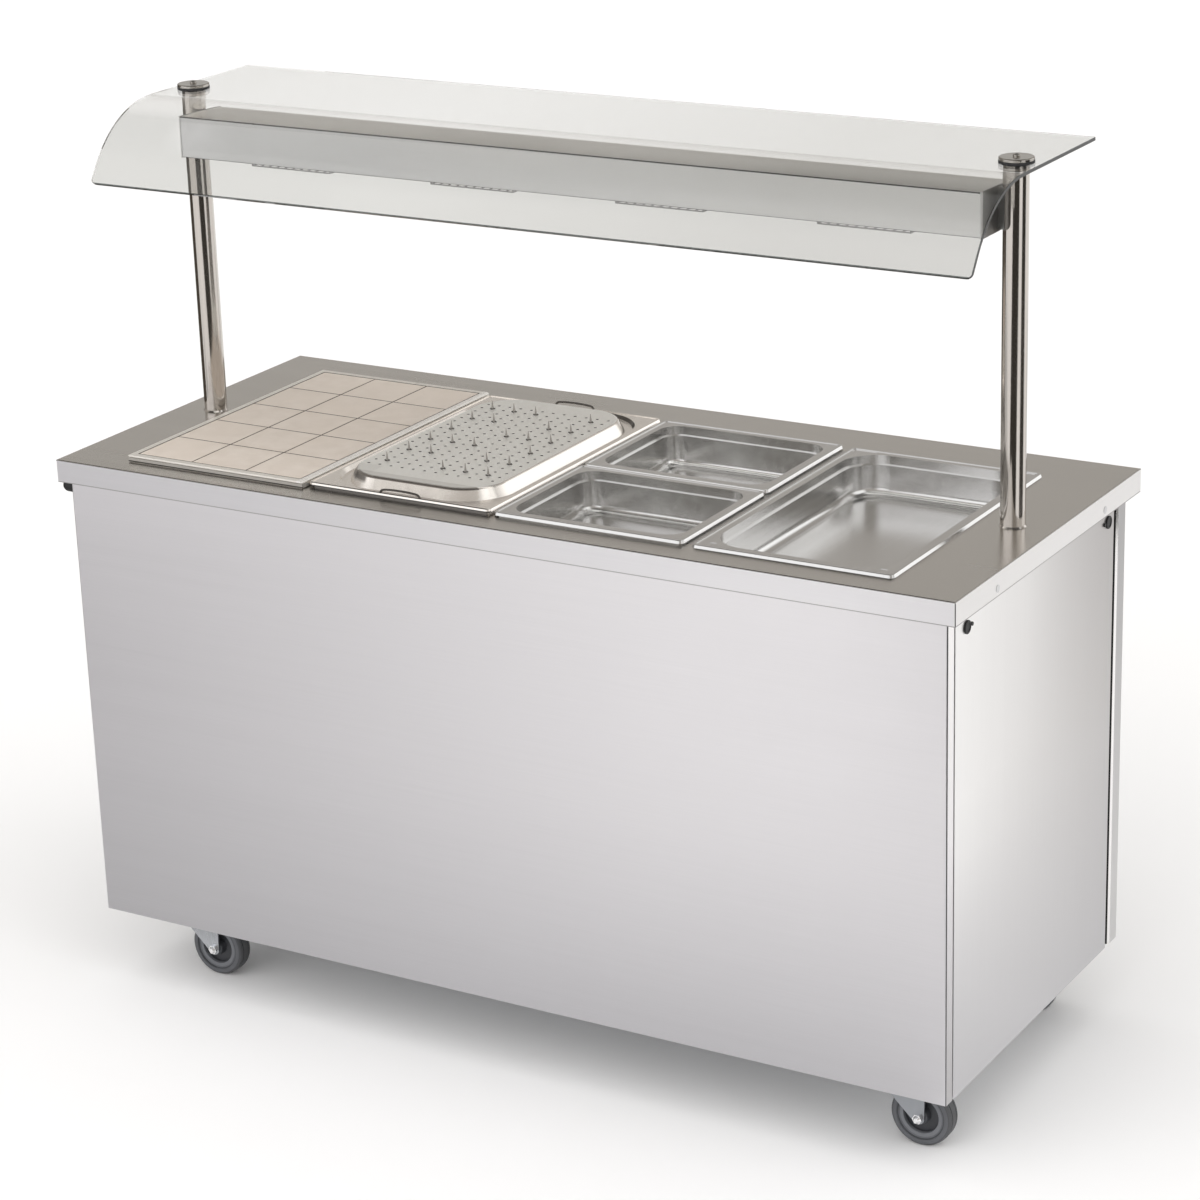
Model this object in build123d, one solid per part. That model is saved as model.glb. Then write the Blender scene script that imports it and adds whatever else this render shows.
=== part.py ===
from build123d import *
import math
import os

os.makedirs("parts", exist_ok=True)

# Hot cupboard with a four-pan heated top and a glass gantry.
# Millimetres. +Z up, floor at Z = 0, customer side at -Y, origin at the
# centre of the footprint on the floor.

# ---------------------------------------------------------------- dimensions
# worktop
TOP_Z = 920.0            # upper face of the worktop
TOP_W = 1586.0
TOP_D = 682.0
TOP_EDGE = 37.5          # height of the turned-down edge
TOP_T = 1.5
CUT_X0, CUT_X1 = -664.0, 660.0     # well cut-out
CUT_Y0, CUT_Y1 = -276.0, 228.0
CUT_R = 12.0

# cabinet body
BODY_X = 776.0           # outer face of the end panels
BODY_YF = -328.5         # outer face of the front panel
BODY_YB = 324.5          # outer face of the rear posts
BODY_Z0 = 127.0          # lower edge of the panels
BODY_Z1 = TOP_Z - TOP_T
SHEET = 1.2
FRONT_RETURN = 30.0      # front panel's return round the corner
CORNER_RETURN = 20.6     # the part of it that shows on the end
END_Y0, END_Y1 = -303.0, 277.0
POST_Y0 = 289.4
POST_X0 = 736.0

# end plugs
PLUG_YF, PLUG_YB = -266.0, 252.0
PLUG_Z = 856.5
PLUG_R = 10.3
PLUG_TAB = 15.8          # from the plug's centre to its pull tab
STOP_Y, STOP_Z = -316.0, 870.6     # rubber stop at the left end's front corner
STOP_R, STOP_L = 10.8, 23.9

# end edge fixings
FIX_Y = 198.0
FIX_Z = 894.6

# pans
FLANGE_H = 5.0           # height of the bead
BEAD_FLARE = 1.5         # how far its foot stands out
DISH_LIFT, HALF_LIFT = 4.3, 2.3    # height of the bead's foot above the worktop
PAN_T = 1.2
PAN_DEPTH = 65.0
TILE_CX, TILE_CY, TILE_W, TILE_D, TILE_H = -506.75, -28.15, 339.0, 546.5, 12.0
TILE_BORDER = 10.5
LIP_SLANT = 2.6
TILE_JOINT = 2.4
DISH_CX, DISH_CY = -165.0, -23.9
DISH_X0, DISH_X1 = -334.6, -2.5    # its flange reaches further to the left, close to the tile plate
HALF_CX = 167.6
FULL_CX, FULL_CY = 509.1, -23.9
GN_W, GN_D = 325.0, 530.0
HALF_D = 262.4
PLATFORM_W, PLATFORM_D, PLATFORM_R = 285.1, 482.1, 77.6     # at its foot
PLATFORM_CY = -26.0
PLATFORM_TAPER = 30.0
PLATFORM_FILLET = 7.0
GROOVE_CX, GROOVE_CY = -168.5, -21.0
GROOVE_W, GROOVE_D, GROOVE_R = 313.0, 514.0, 88.0
GROOVE_DEPTH = 6.0
GROOVE_TAPER = 40.0
PLATFORM_Z = TOP_Z + 22.5
HOLE_PITCH = 20.8
HOLE_R = 2.4
SPIKE_H = 15.0
# spike positions on the 12 x 18 hole grid: depth row -> columns
SPIKES = {1: (1, 6, 8, 10), 4: (1, 3, 8, 10), 7: (1, 3, 5, 10),
          10: (1, 6, 8, 10), 13: (1, 3, 8, 10), 16: (1, 3, 5, 10)}

# gantry
PILLAR_X, PILLAR_Y, PILLAR_R, PILLAR_T = 727.0, 2.5, 19.05, 1.6
GLASS_X = 764.6
GLASS_T = 5.0
GLASS_TOP = TOP_Z + 544.0
GLASS_YB = 204.0
GLASS_Y0 = -60.0        # where the flat top starts to curve
GLASS_R = 185.0
GLASS_TURN = 56.0
GLASS_STRIPS = 56       # the bend is rolled in narrow strips
GLASS_LIP = 36.0
CAP_R = 26.0
BOX_X, BOX_YF, BOX_YB = 703.5, -67.7, 43.0
BOX_Z0, BOX_Z1 = TOP_Z + 446.0, TOP_Z + 511.4
LAMP_CX = (-506.75, -165.0, 167.6, 509.1)
LAMP_CY, LAMP_W, LAMP_D = -12.4, 152.0, 65.0
LAMP_Z = BOX_Z0 - 4.0    # rim of the reflectors
GUARD_Z = BOX_Z0 - 9.2   # underside of the wire guards

# castors
CASTOR_X, CASTOR_Y = 656.0, 227.0
CASTOR_TRAIL = 37.5
WHEEL_R, WHEEL_W = 50.0, 32.0
TYRE_RI = 35.0
AXLE_R = 5.95
RUN_CLEAR = 0.05
# swivel angle of each castor: trail direction from +X
CASTORS = {"front_left": (-1, -1, 0.0), "front_right": (1, -1, 0.0),
           "rear_left": (-1, 1, 105.0), "rear_right": (1, 1, 75.0)}

# doors and controls on the operator side
DOOR_W = 740.0
DOOR_Z0, DOOR_Z1 = 153.0, 785.0
DOOR_T = 15.0
OUTER_DOOR_Y = 300.0
INNER_DOOR_Y = 275.0
TRACK_Z0, TRACK_Z1 = 150.0, 788.0
PANEL_Y = 304.0
CONTROL_Z = 835.0
KNOB_X = (-460.0, -300.0)
PILOT_X = (-530.0, -370.0)
SWITCH_X = -210.0
SWITCH_TILT = 8.0

# inside
LINER_X, LINER_YF, LINER_YB, LINER_Z0, LINER_Z1 = 742.0, -298.8, 266.0, 158.9, 700.0
LINER_T = 0.9
WELL_T = 1.0
BASE_T = 2.0
WELL_Z0 = 765.0
SHELF_Z = 428.0

NODES = {}


# ------------------------------------------------------------------- helpers
def box(x0, x1, y0, y1, z0, z1):
    return Pos((x0 + x1) / 2, (y0 + y1) / 2, (z0 + z1) / 2) * Box(x1 - x0, y1 - y0, z1 - z0)


def cyl_z(x, y, z0, z1, r):
    return Pos(x, y, (z0 + z1) / 2) * Cylinder(r, z1 - z0)


def cyl_x(x0, x1, y, z, r):
    return Pos((x0 + x1) / 2, y, z) * Rot(0, 90, 0) * Cylinder(r, x1 - x0)


def cyl_y(x, y0, y1, z, r):
    return Pos(x, (y0 + y1) / 2, z) * Rot(90, 0, 0) * Cylinder(r, y1 - y0)


def slab(cx, cy, w, d, r, z0, z1):
    return Pos(cx, cy, z0) * extrude(RectangleRounded(w, d, r), z1 - z0)


def at_z(shape, z, tol=0.05):
    return [e for e in shape.edges()
            if abs(e.bounding_box().min.Z - z) < tol and abs(e.bounding_box().max.Z - z) < tol]


def upright(shape, x, y, tol=0.3):
    out = []
    for e in shape.edges():
        b = e.bounding_box()
        if b.size.X < tol and b.size.Y < tol and abs(b.center().X - x) < tol and abs(b.center().Y - y) < tol:
            out.append(e)
    return out


def put(name, *shapes):
    solids = []
    for s in shapes:
        solids += list(s.solids())
    NODES[name] = solids


def revolve_y(points, cx=0.0, cz=0.0):
    """A ring about a Y axis from (radius, y) points."""
    face = make_face(Polyline(*[(r, y, 0) for r, y in points], close=True))
    # profile plane: local X is the radius, local Y runs along the axis
    return Pos(cx, 0, cz) * revolve(face, axis=Axis.Y)


# ------------------------------------------------------------------- worktop
hx, hy = TOP_W / 2, TOP_D / 2
zb = TOP_Z - TOP_EDGE
top = box(-hx, hx, -hy, hy, zb, TOP_Z)
top = fillet(at_z(top, TOP_Z), 1.8)
top -= box(-hx + TOP_T, hx - TOP_T, -hy + TOP_T, hy - TOP_T, zb + TOP_T, TOP_Z - TOP_T)
top -= box(-BODY_X - 0.6, BODY_X + 0.6, BODY_YF - 0.6, BODY_YB + 0.6, zb - 1, zb + TOP_T + 1)
top -= slab((CUT_X0 + CUT_X1) / 2, (CUT_Y0 + CUT_Y1) / 2, CUT_X1 - CUT_X0, CUT_Y1 - CUT_Y0,
            CUT_R, TOP_Z - 4, TOP_Z + 1)
for sx in (-1, 1):
    top -= cyl_z(sx * PILLAR_X, PILLAR_Y, TOP_Z - 4, TOP_Z + 1, PILLAR_R + 0.1)
    for sy in (-1, 1):
        # open seam where the turned-down edges meet at each corner
        top -= box(sx * hx - 0.9, sx * hx + 0.9, sy * hy - 0.9, sy * hy + 0.9, zb - 1, TOP_Z - 3.0)
    for sy in (-1, 1):
        top -= cyl_x(sx * (hx - 1) - 2, sx * (hx - 1) + 2, sy * FIX_Y, FIX_Z, 3.1)
put("worktop", top)

fixings = []
for sx in (-1, 1):
    for sy in (-1, 1):
        head = cyl_x(hx, hx + 0.5, sy * FIX_Y, FIX_Z, 6.0)
        shank = cyl_x(hx - 3.0, hx, sy * FIX_Y, FIX_Z, 3.0)
        piece = head + shank
        fixings.append(piece if sx > 0 else Rot(0, 0, 180) * piece)
put("edge_fixings", *fixings)

# --------------------------------------------------------------- outer panels
front = box(-BODY_X, BODY_X, BODY_YF, BODY_YF + FRONT_RETURN, BODY_Z0, BODY_Z1)
front = fillet(upright(front, -BODY_X, BODY_YF) + upright(front, BODY_X, BODY_YF), 2.5)
front -= box(-BODY_X + SHEET, BODY_X - SHEET, BODY_YF + SHEET, 0, BODY_Z0 + SHEET, TOP_Z)
for sx in (-1, 1):
    # the returns stop short of the end panels, which leaves an open joint
    front -= box(min(sx * 760, sx * 780), max(sx * 760, sx * 780), BODY_YF + CORNER_RETURN, 0, BODY_Z0 - 1, TOP_Z)
put("front_panel", front)


def end_panel(sx):
    p = box(BODY_X - 16, BODY_X, END_Y0, END_Y1, BODY_Z0, BODY_Z1)
    p = fillet(upright(p, BODY_X, END_Y0) + upright(p, BODY_X, END_Y1), 1.6)
    p -= box(0, BODY_X - SHEET, END_Y0 + SHEET, END_Y1 - SHEET, BODY_Z0 + SHEET, TOP_Z)
    for y in (PLUG_YF, PLUG_YB):
        p -= cyl_x(BODY_X - 5, BODY_X + 5, y, PLUG_Z, 7.2)
    return p if sx > 0 else mirror(p, about=Plane.YZ)


put("end_panels", end_panel(1), end_panel(-1))


def rear_post(sx):
    pts = [(POST_X0, POST_Y0), (BODY_X - 4.4, POST_Y0), (BODY_X, POST_Y0 + 5.0), (BODY_X, BODY_YB), (POST_X0, BODY_YB)]
    p = extrude(make_face(Polyline(*pts, close=True)), BODY_Z1 - BODY_Z0)
    p = Pos(0, 0, BODY_Z0) * p
    p = fillet(upright(p, BODY_X, BODY_YB), 3.0)
    q = [(POST_X0 + 1.5, POST_Y0 + 1.5), (BODY_X - 5.1, POST_Y0 + 1.5), (BODY_X - 1.5, POST_Y0 + 5.6),
         (BODY_X - 1.5, BODY_YB - 1.5), (POST_X0 + 1.5, BODY_YB - 1.5)]
    p -= Pos(0, 0, BODY_Z0 - 1) * extrude(make_face(Polyline(*q, close=True)), BODY_Z1 - BODY_Z0 + 2)
    # open slot behind the end panel's rear edge
    p -= box(752.0, BODY_X - 5.8, POST_Y0 - 1, POST_Y0 + 2.0, BODY_Z0 + 12, BODY_Z1 - 12)
    return p if sx > 0 else mirror(p, about=Plane.YZ)


fp = box(744.5, BODY_X - SHEET, BODY_YF + SHEET, -310.0, BODY_Z0 + SHEET, BODY_Z1)
fp -= box(746.0, BODY_X - SHEET - 1.5, BODY_YF + SHEET + 1.5, -311.5, BODY_Z0, TOP_Z)
put("corner_posts", rear_post(1), rear_post(-1), fp, mirror(fp, about=Plane.YZ))

# ---------------------------------------------------------------- end plugs
def end_plug(sx, sy):
    p = cyl_x(BODY_X, BODY_X + 3.0, 0, 0, PLUG_R)
    p = fillet([e for e in p.edges() if abs(e.bounding_box().min.X - BODY_X - 3.0) < 0.05
                and abs(e.bounding_box().max.X - BODY_X - 3.0) < 0.05], 1.2)
    p -= cyl_x(BODY_X + 2.2, BODY_X + 4.0, 0, 0, 7.0)
    p += cyl_x(BODY_X - 8.0, BODY_X + 1.0, 0, 0, 7.0)
    # pull tab on the side towards the middle of the panel, on a thin strap
    t = -sy * PLUG_TAB
    p += box(BODY_X, BODY_X + 0.6, min(t, 0), max(t, 0), -1.1, 1.1)
    p += cyl_x(BODY_X, BODY_X + 2.4, t, 0, 3.0)
    p = Pos(0, PLUG_YB if sy > 0 else PLUG_YF, PLUG_Z) * p
    return p if sx > 0 else mirror(p, about=Plane.YZ)


stop = cyl_x(-BODY_X - STOP_L, -BODY_X, STOP_Y, STOP_Z, STOP_R)
stop = fillet([e for e in stop.edges() if e.bounding_box().max.X < -BODY_X - STOP_L + 0.05], STOP_R - 1.0)
put("end_plugs", *[end_plug(sx, sy) for sx in (-1, 1) for sy in (-1, 1)], stop)

# ------------------------------------------------------------ base and inside
base = box(-760, 760, -298.5, 267, BODY_Z0, 158.0) + box(-POST_X0, POST_X0, 260, 322, BODY_Z0, TRACK_Z0)
base -= box(-758, 758, -296.5, 265, BODY_Z0 + BASE_T, 170)
base -= box(-POST_X0 + 2, POST_X0 - 2, 267, 320, BODY_Z0 + BASE_T, TRACK_Z0 - 2)
# longitudinal stiffeners that the castor plates bolt through
for y in (-CASTOR_Y, CASTOR_Y):
    base += box(-756, 756, y - 46, y - 44, BODY_Z0 + BASE_T - 0.1, 158.0) + box(-756, 756, y + 43 - 8, y + 43 - 6, BODY_Z0 + BASE_T - 0.1, 158.0)
GLAND_X, GLAND_Y = -500.0, 216.0
base -= cyl_z(GLAND_X, GLAND_Y, BODY_Z0 - 1, BODY_Z0 + 4, 10.1)
for sx in (-1, 1):
    for sy in (-1, 1):
        for bx in (-1, 1):
            for by in (-1, 1):
                base -= cyl_z(sx * CASTOR_X + bx * 40, sy * CASTOR_Y + by * 30, BODY_Z0 - 1, BODY_Z0 + 4, 4.2)
put("base_chassis", base)

put("cupboard_floor", box(-LINER_X, LINER_X, LINER_YF - LINER_T, LINER_YB, 158.0, LINER_Z0))

liner = box(-LINER_X - LINER_T, LINER_X + LINER_T, LINER_YF - LINER_T, LINER_YB, LINER_Z0, LINER_Z1 + LINER_T)
liner -= box(-LINER_X, LINER_X, LINER_YF, LINER_YB + 1, LINER_Z0 - 1, LINER_Z1)
# upper closing strip between the cupboard and the controls
liner += box(-LINER_X - LINER_T, LINER_X + LINER_T, LINER_YB - LINER_T, LINER_YB, LINER_Z1, TRACK_Z1)
put("cupboard_liner", liner)

shelf = box(-LINER_X + 4, LINER_X - 4, -290, 256, SHELF_Z, SHELF_Z + LINER_T)
shelf += box(-LINER_X + 4, LINER_X - 4, 256 - LINER_T, 256, SHELF_Z - 18, SHELF_Z + LINER_T)
shelf += box(-LINER_X + 24, LINER_X - 24, -290, -290 + LINER_T, SHELF_Z - 18, SHELF_Z + LINER_T)
shelf -= box(LINER_X - 24, LINER_X, 250, 260, SHELF_Z - 20, SHELF_Z)
shelf -= box(-LINER_X, -LINER_X + 24, 250, 260, SHELF_Z - 20, SHELF_Z)
put("shelf", shelf)

rails = []
for sx in (-1, 1):
    r = box(LINER_X - 22, LINER_X, -285, 250, SHELF_Z - 1.5, SHELF_Z)
    r += box(LINER_X - 1.5, LINER_X, -285, 250, SHELF_Z - 22, SHELF_Z)
    rails.append(r if sx > 0 else mirror(r, about=Plane.YZ))
put("shelf_rails", *rails)

put("insulation",
    box(-738, 738, LINER_YF - SHEET - 13, LINER_YF - SHEET - 0.5, 162, 850),
    box(744.0, 752.0, -294, 262, 162, 850),
    box(-752.0, -744.0, -294, 262, 162, 850),
    box(-655, 655, -270, 222, 702, 722))

# ---------------------------------------------------------------- heated well
wx0, wx1, wy0, wy1 = CUT_X0 - 3, CUT_X1 + 3, CUT_Y0 - 3, CUT_Y1 + 3
wz1 = TOP_Z - TOP_T
wcx, wcy = (wx0 + wx1) / 2, (wy0 + wy1) / 2
well = slab(wcx, wcy, wx1 - wx0 + 2 * WELL_T, wy1 - wy0 + 2 * WELL_T, 14 + WELL_T, WELL_Z0 - WELL_T, wz1)
well += slab(wcx, wcy, wx1 - wx0 + 32, wy1 - wy0 + 32, 20, wz1 - WELL_T, wz1)
well -= slab(wcx, wcy, wx1 - wx0, wy1 - wy0, 14, WELL_Z0, wz1 + 1)
put("bain_marie_well", well)


def channel_bar(x0, x1, y0, y1):
    b = box(x0, x1, y0, y1, TOP_Z - 14, TOP_Z)
    if y1 - y0 > x1 - x0:
        b -= box(x0 + 1.5, x1 - 1.5, y0 - 1, y1 + 1, TOP_Z - 15, TOP_Z - 1.5)
        # closed ends, each with a tab that reaches the wall of the well
        for ya, yb, wall in ((y0, y0 + 4, wy0), (y1 - 4, y1, wy1)):
            b += box(x0, x1, ya, yb, TOP_Z - 13, TOP_Z)
            b += box(x0 + 4, x1 - 4, min(ya, wall), max(yb, wall), TOP_Z - 13, TOP_Z - 3.5)
    else:
        b -= box(x0 - 1, x1 + 1, y0 + 1.5, y1 - 1.5, TOP_Z - 15, TOP_Z - 1.5)
    return b


BAR1 = (-347.0, -318.0)
BAR2 = (-13.7, 16.3)
BAR3 = (322.3, 354.3)
put("well_bars",
    *[channel_bar(a, b, CUT_Y0 + 0.2, CUT_Y1 - 0.2) for a, b in (BAR1, BAR2, BAR3)],
    channel_bar(BAR2[1], BAR3[0], -34.9, -12.9))


def hairpin(x, y0, y1, z, pitch, r):
    path = FilletPolyline((x - pitch / 2, y0, z), (x - pitch / 2, y1, z), (x + pitch / 2, y1, z),
                          (x + pitch / 2, y0, z), radius=pitch * 0.48)
    return sweep(Plane(path @ 0, z_dir=path % 0) * Circle(r), path=path)


elements = [hairpin(x, -230, 180, WELL_Z0 - WELL_T - 4.3, 120, 4.0) for x in LAMP_CX]
# cupboard element: one long loop along the foot of the liner's front wall, on two blocks
path = FilletPolyline((-600, -284, 182), (600, -284, 182), (600, -252, 182), (-600, -252, 182), radius=15.0)
loop = sweep(Plane(path @ 0, z_dir=path % 0) * Circle(4.0), path=path)
elements.append(loop)
for x in (-560, 0, 560):
    elements.append(box(x - 6, x + 6, -292, -244, LINER_Z0, 178.0))
put("heating_elements", *elements)

# -------------------------------------------------------------------- gantry
pillars = []
for sx in (-1, 1):
    p = cyl_z(sx * PILLAR_X, PILLAR_Y, 862, GLASS_TOP - GLASS_T - 1.5, PILLAR_R)
    p -= cyl_z(sx * PILLAR_X, PILLAR_Y, 861, GLASS_TOP - GLASS_T - 14, PILLAR_R - PILLAR_T)
    p -= cyl_z(sx * PILLAR_X, PILLAR_Y, GLASS_TOP - 40, GLASS_TOP + 5, 4.1)
    # weld bead at the foot
    p += Pos(sx * PILLAR_X, PILLAR_Y, TOP_Z + 1.25) * Cone(PILLAR_R + 2.2, PILLAR_R, 2.5) - cyl_z(sx * PILLAR_X, PILLAR_Y, TOP_Z - 1, TOP_Z + 4, PILLAR_R - 0.8)
    pillars.append(p)
put("gantry_pillars", *pillars)

sockets = []
for sx in (-1, 1):
    s = cyl_z(sx * PILLAR_X, PILLAR_Y, 858, TOP_Z - TOP_T, 23.0) + cyl_z(sx * PILLAR_X, PILLAR_Y, TOP_Z - TOP_T - 4, TOP_Z - TOP_T, 34.0)
    s -= cyl_z(sx * PILLAR_X, PILLAR_Y, 862, TOP_Z, PILLAR_R + 0.1)
    s -= cyl_z(sx * PILLAR_X, PILLAR_Y, 850, TOP_Z, PILLAR_R - 4)
    s -= box(sx * PILLAR_X - 50, sx * PILLAR_X + 50, PILLAR_Y - 50, PILLAR_Y + 50, 840, 858.0)
    sockets.append(s)
put("pillar_sockets", *sockets)

# curved glass: flat top, one bend, straight lip on the customer side
turn = math.radians(GLASS_TURN)


def glass_side(off):
    """edges of one face of the sheet, from the rear edge to the lip"""
    r = GLASS_R - off
    cy, cz = GLASS_Y0, GLASS_TOP - GLASS_R

    def on_bend(a):
        return Vector(-GLASS_X, cy - r * math.sin(a), cz + r * math.cos(a))

    edges = [Line(Vector(-GLASS_X, GLASS_YB, cz + r), on_bend(0.0)).edge()]
    for k in range(GLASS_STRIPS):
        a0, a1 = turn * k / GLASS_STRIPS, turn * (k + 1) / GLASS_STRIPS
        edges.append(ThreePointArc(on_bend(a0), on_bend((a0 + a1) / 2), on_bend(a1)).edge())
    lip = on_bend(turn) - Vector(0, GLASS_LIP * math.cos(turn), GLASS_LIP * math.sin(turn))
    edges.append(Line(on_bend(turn), lip).edge())
    return edges


outer, inner = glass_side(0.0), glass_side(GLASS_T)
wire = Wire(outer + [Line(outer[-1] @ 1, inner[-1] @ 1).edge()] + inner
            + [Line(inner[0] @ 0, outer[0] @ 0).edge()])
glass = extrude(Face(wire), 2 * GLASS_X, dir=(1, 0, 0))
glass = fillet([e for e in glass.edges() if abs(e.length - GLASS_T) < 0.05 and e.bounding_box().center().Y < -200], 9.0)
glass = fillet([e for e in glass.edges() if abs(e.length - GLASS_T) < 0.05 and e.bounding_box().center().Y > 203.5], 3.0)
for sx in (-1, 1):
    glass -= cyl_z(sx * PILLAR_X, PILLAR_Y, GLASS_TOP - 20, GLASS_TOP + 5, 6.0)
put("glass_canopy", glass)

gaskets, caps, screws = [], [], []
for sx in (-1, 1):
    x = sx * PILLAR_X
    g = cyl_z(x, PILLAR_Y, GLASS_TOP - GLASS_T - 1.5, GLASS_TOP - GLASS_T, 18.6)
    g -= cyl_z(x, PILLAR_Y, GLASS_TOP - 20, GLASS_TOP, 4.6)
    u = cyl_z(x, PILLAR_Y, GLASS_TOP, GLASS_TOP + 4.2, CAP_R + 0.4)
    u -= cyl_z(x, PILLAR_Y, GLASS_TOP - 1, GLASS_TOP + 5, 4.6)
    gaskets += [g, u]
    c = cyl_z(x, PILLAR_Y, GLASS_TOP + 4.2, GLASS_TOP + 8.8, CAP_R)
    c = fillet(at_z(c, GLASS_TOP + 8.8), 1.8)
    c -= cyl_z(x, PILLAR_Y, GLASS_TOP, GLASS_TOP + 10, 4.4)
    caps.append(c)
    s = cyl_z(x, PILLAR_Y, GLASS_TOP + 8.8, GLASS_TOP + 12.2, 5.6)
    s = fillet(at_z(s, GLASS_TOP + 12.2), 2.0)
    s += cyl_z(x, PILLAR_Y, GLASS_TOP - 34, GLASS_TOP + 9.4, 4.0)
    s -= Pos(x, PILLAR_Y, GLASS_TOP + 9.8) * extrude(RegularPolygon(2.6, 6), 5)
    screws.append(s)
put("glass_gaskets", *gaskets)
put("glass_clamps", *caps, *screws)

house = box(-BOX_X, BOX_X, BOX_YF, BOX_YB, BOX_Z0, BOX_Z1)
house = fillet([e for e in house.edges() if e.length > 1000], 1.6)
house -= box(-BOX_X - 1, BOX_X + 1, BOX_YF + 1.5, BOX_YB - 1.5, BOX_Z0 + 1.5, BOX_Z1 - 1.5)
house -= box(-BOX_X - 1, BOX_X + 1, BOX_YF + 14, BOX_YB - 14, BOX_Z0 - 1, BOX_Z0 + 2)
put("gantry_housing", house)

plates = []
for sx in (-1, 1):
    pl = box(BOX_X, BOX_X + 2.0, BOX_YF - 0.8, BOX_YB + 0.8, BOX_Z0 - 1.6, BOX_Z1 + 0.8)
    # saddle that bolts the housing to its pillar
    sad = box(BOX_X + 1.0, PILLAR_X - 8, PILLAR_Y - 15, PILLAR_Y + 15, BOX_Z0 + 2, BOX_Z1 - 2)
    sad -= cyl_z(PILLAR_X, PILLAR_Y, BOX_Z0 - 1, BOX_Z1 + 1, PILLAR_R)
    pl += sad
    plates.append(pl if sx > 0 else mirror(pl, about=Plane.YZ))
put("gantry_end_plates", *plates)

reflectors, holders, tubes, guards = [], [], [], []
for cx in LAMP_CX:
    x0, x1 = cx - LAMP_W / 2, cx + LAMP_W / 2
    r = cyl_x(x0, x1, LAMP_CY, LAMP_Z, LAMP_D / 2) - cyl_x(x0 + 1.2, x1 - 1.2, LAMP_CY, LAMP_Z, LAMP_D / 2 - 1.2)
    r -= box(x0 - 1, x1 + 1, LAMP_CY - 40, LAMP_CY + 40, LAMP_Z - 40, LAMP_Z)
    for dx in (-45, 45):
        r += cyl_z(cx + dx, LAMP_CY, LAMP_Z + LAMP_D / 2 - 1.0, BOX_Z1 - 1.5, 3.0)
    reflectors.append(r)
    for s in (-1, 1):
        a, b = sorted((cx + s * (LAMP_W / 2 - 1.2), cx + s * (LAMP_W / 2 - 13.2)))
        h = box(a, b, LAMP_CY - 8, LAMP_CY + 8, LAMP_Z + 4, LAMP_Z + 22)
        h -= cyl_x(*sorted((cx + s * (LAMP_W / 2 - 6.2), cx + s * (LAMP_W / 2 - 14.2))), LAMP_CY, LAMP_Z + 12, 5.6)
        holders.append(h)
    tubes.append(cyl_x(x0 + 6.4, x1 - 6.4, LAMP_CY, LAMP_Z + 12, 5.0))
    # wire guard: a lower frame, cross wires, a leg at each corner
    ya, yb = LAMP_CY - LAMP_D / 2 + 0.6, LAMP_CY + LAMP_D / 2 - 0.6
    gz = GUARD_Z + 1.8
    g = box(x0, x1, ya - 0.9, ya + 0.9, GUARD_Z, gz) + box(x0, x1, yb - 0.9, yb + 0.9, GUARD_Z, gz)
    for xx in (x0 + 0.9, x1 - 0.9):
        g += box(xx - 0.9, xx + 0.9, ya, yb, GUARD_Z, gz)
    for k in range(1, 10):
        xx = x0 + k * LAMP_W / 10
        g += box(xx - 0.75, xx + 0.75, ya, yb, GUARD_Z + 0.15, GUARD_Z + 1.65)
    for yy in (LAMP_CY - 11, LAMP_CY + 11):
        g += box(x0 + 1, x1 - 1, yy - 0.75, yy + 0.75, GUARD_Z + 0.15, GUARD_Z + 1.65)
    for xx in (x0 + 0.9, x1 - 0.9):
        for yy in (ya, yb):
            g += box(xx - 0.9, xx + 0.9, yy - 0.9, yy + 0.9, GUARD_Z, LAMP_Z)
    guards.append(g)
put("lamp_reflectors", *reflectors)
put("lamp_holders", *holders)
put("quartz_lamps", *tubes)
put("lamp_guards", *guards)

# ---------------------------------------------------------------- tile plate
x0, x1 = TILE_CX - TILE_W / 2, TILE_CX + TILE_W / 2
y0, y1 = TILE_CY - TILE_D / 2, TILE_CY + TILE_D / 2
tz = TOP_Z + TILE_H
frame = box(x0 + 3, x1 - 3, y0 + 3, y1 - 3, TOP_Z, tz - 0.5)
frame += box(x0, x1, y0, y1, TOP_Z + 1.2, TOP_Z + 7.8)
lip = box(x0, x1, y0, y1, TOP_Z + 8.8, tz)
lip = fillet(at_z(lip, tz), 1.0)
# the lip's right edge is folded at a slant
slant = make_face(Polyline((x1 - LIP_SLANT, tz + 0.5), (x1 + 0.5, tz + 0.5), (x1 + 0.5, tz - LIP_SLANT),
                           (x1, tz - LIP_SLANT), (x1 - LIP_SLANT, tz), close=True))
lip -= Pos(0, y1 + 1, 0) * Rot(90, 0, 0) * extrude(slant, TILE_D + 2)
frame += lip
frame -= box(x0 + TILE_BORDER, x1 - TILE_BORDER, y0 + TILE_BORDER, y1 - TILE_BORDER, tz - 5.0, tz + 1)
frame -= box(x0 + 4.5, x1 - 4.5, y0 + 4.5, y1 - 4.5, TOP_Z - 1, TOP_Z + 5.5)
# locating rim that drops into the cut-out
rcx, rcy = (CUT_X0 + BAR1[0]) / 2, (CUT_Y0 + CUT_Y1) / 2
rw, rd = BAR1[0] - CUT_X0 - 6.0, CUT_Y1 - CUT_Y0 - 6.0
frame += slab(rcx, rcy, rw, rd, 11.0, TOP_Z - 22, TOP_Z + 5.5) - slab(rcx, rcy, rw - 3, rd - 3, 9.5, TOP_Z - 23, TOP_Z + 5.5)
put("tile_frame", frame)

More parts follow.
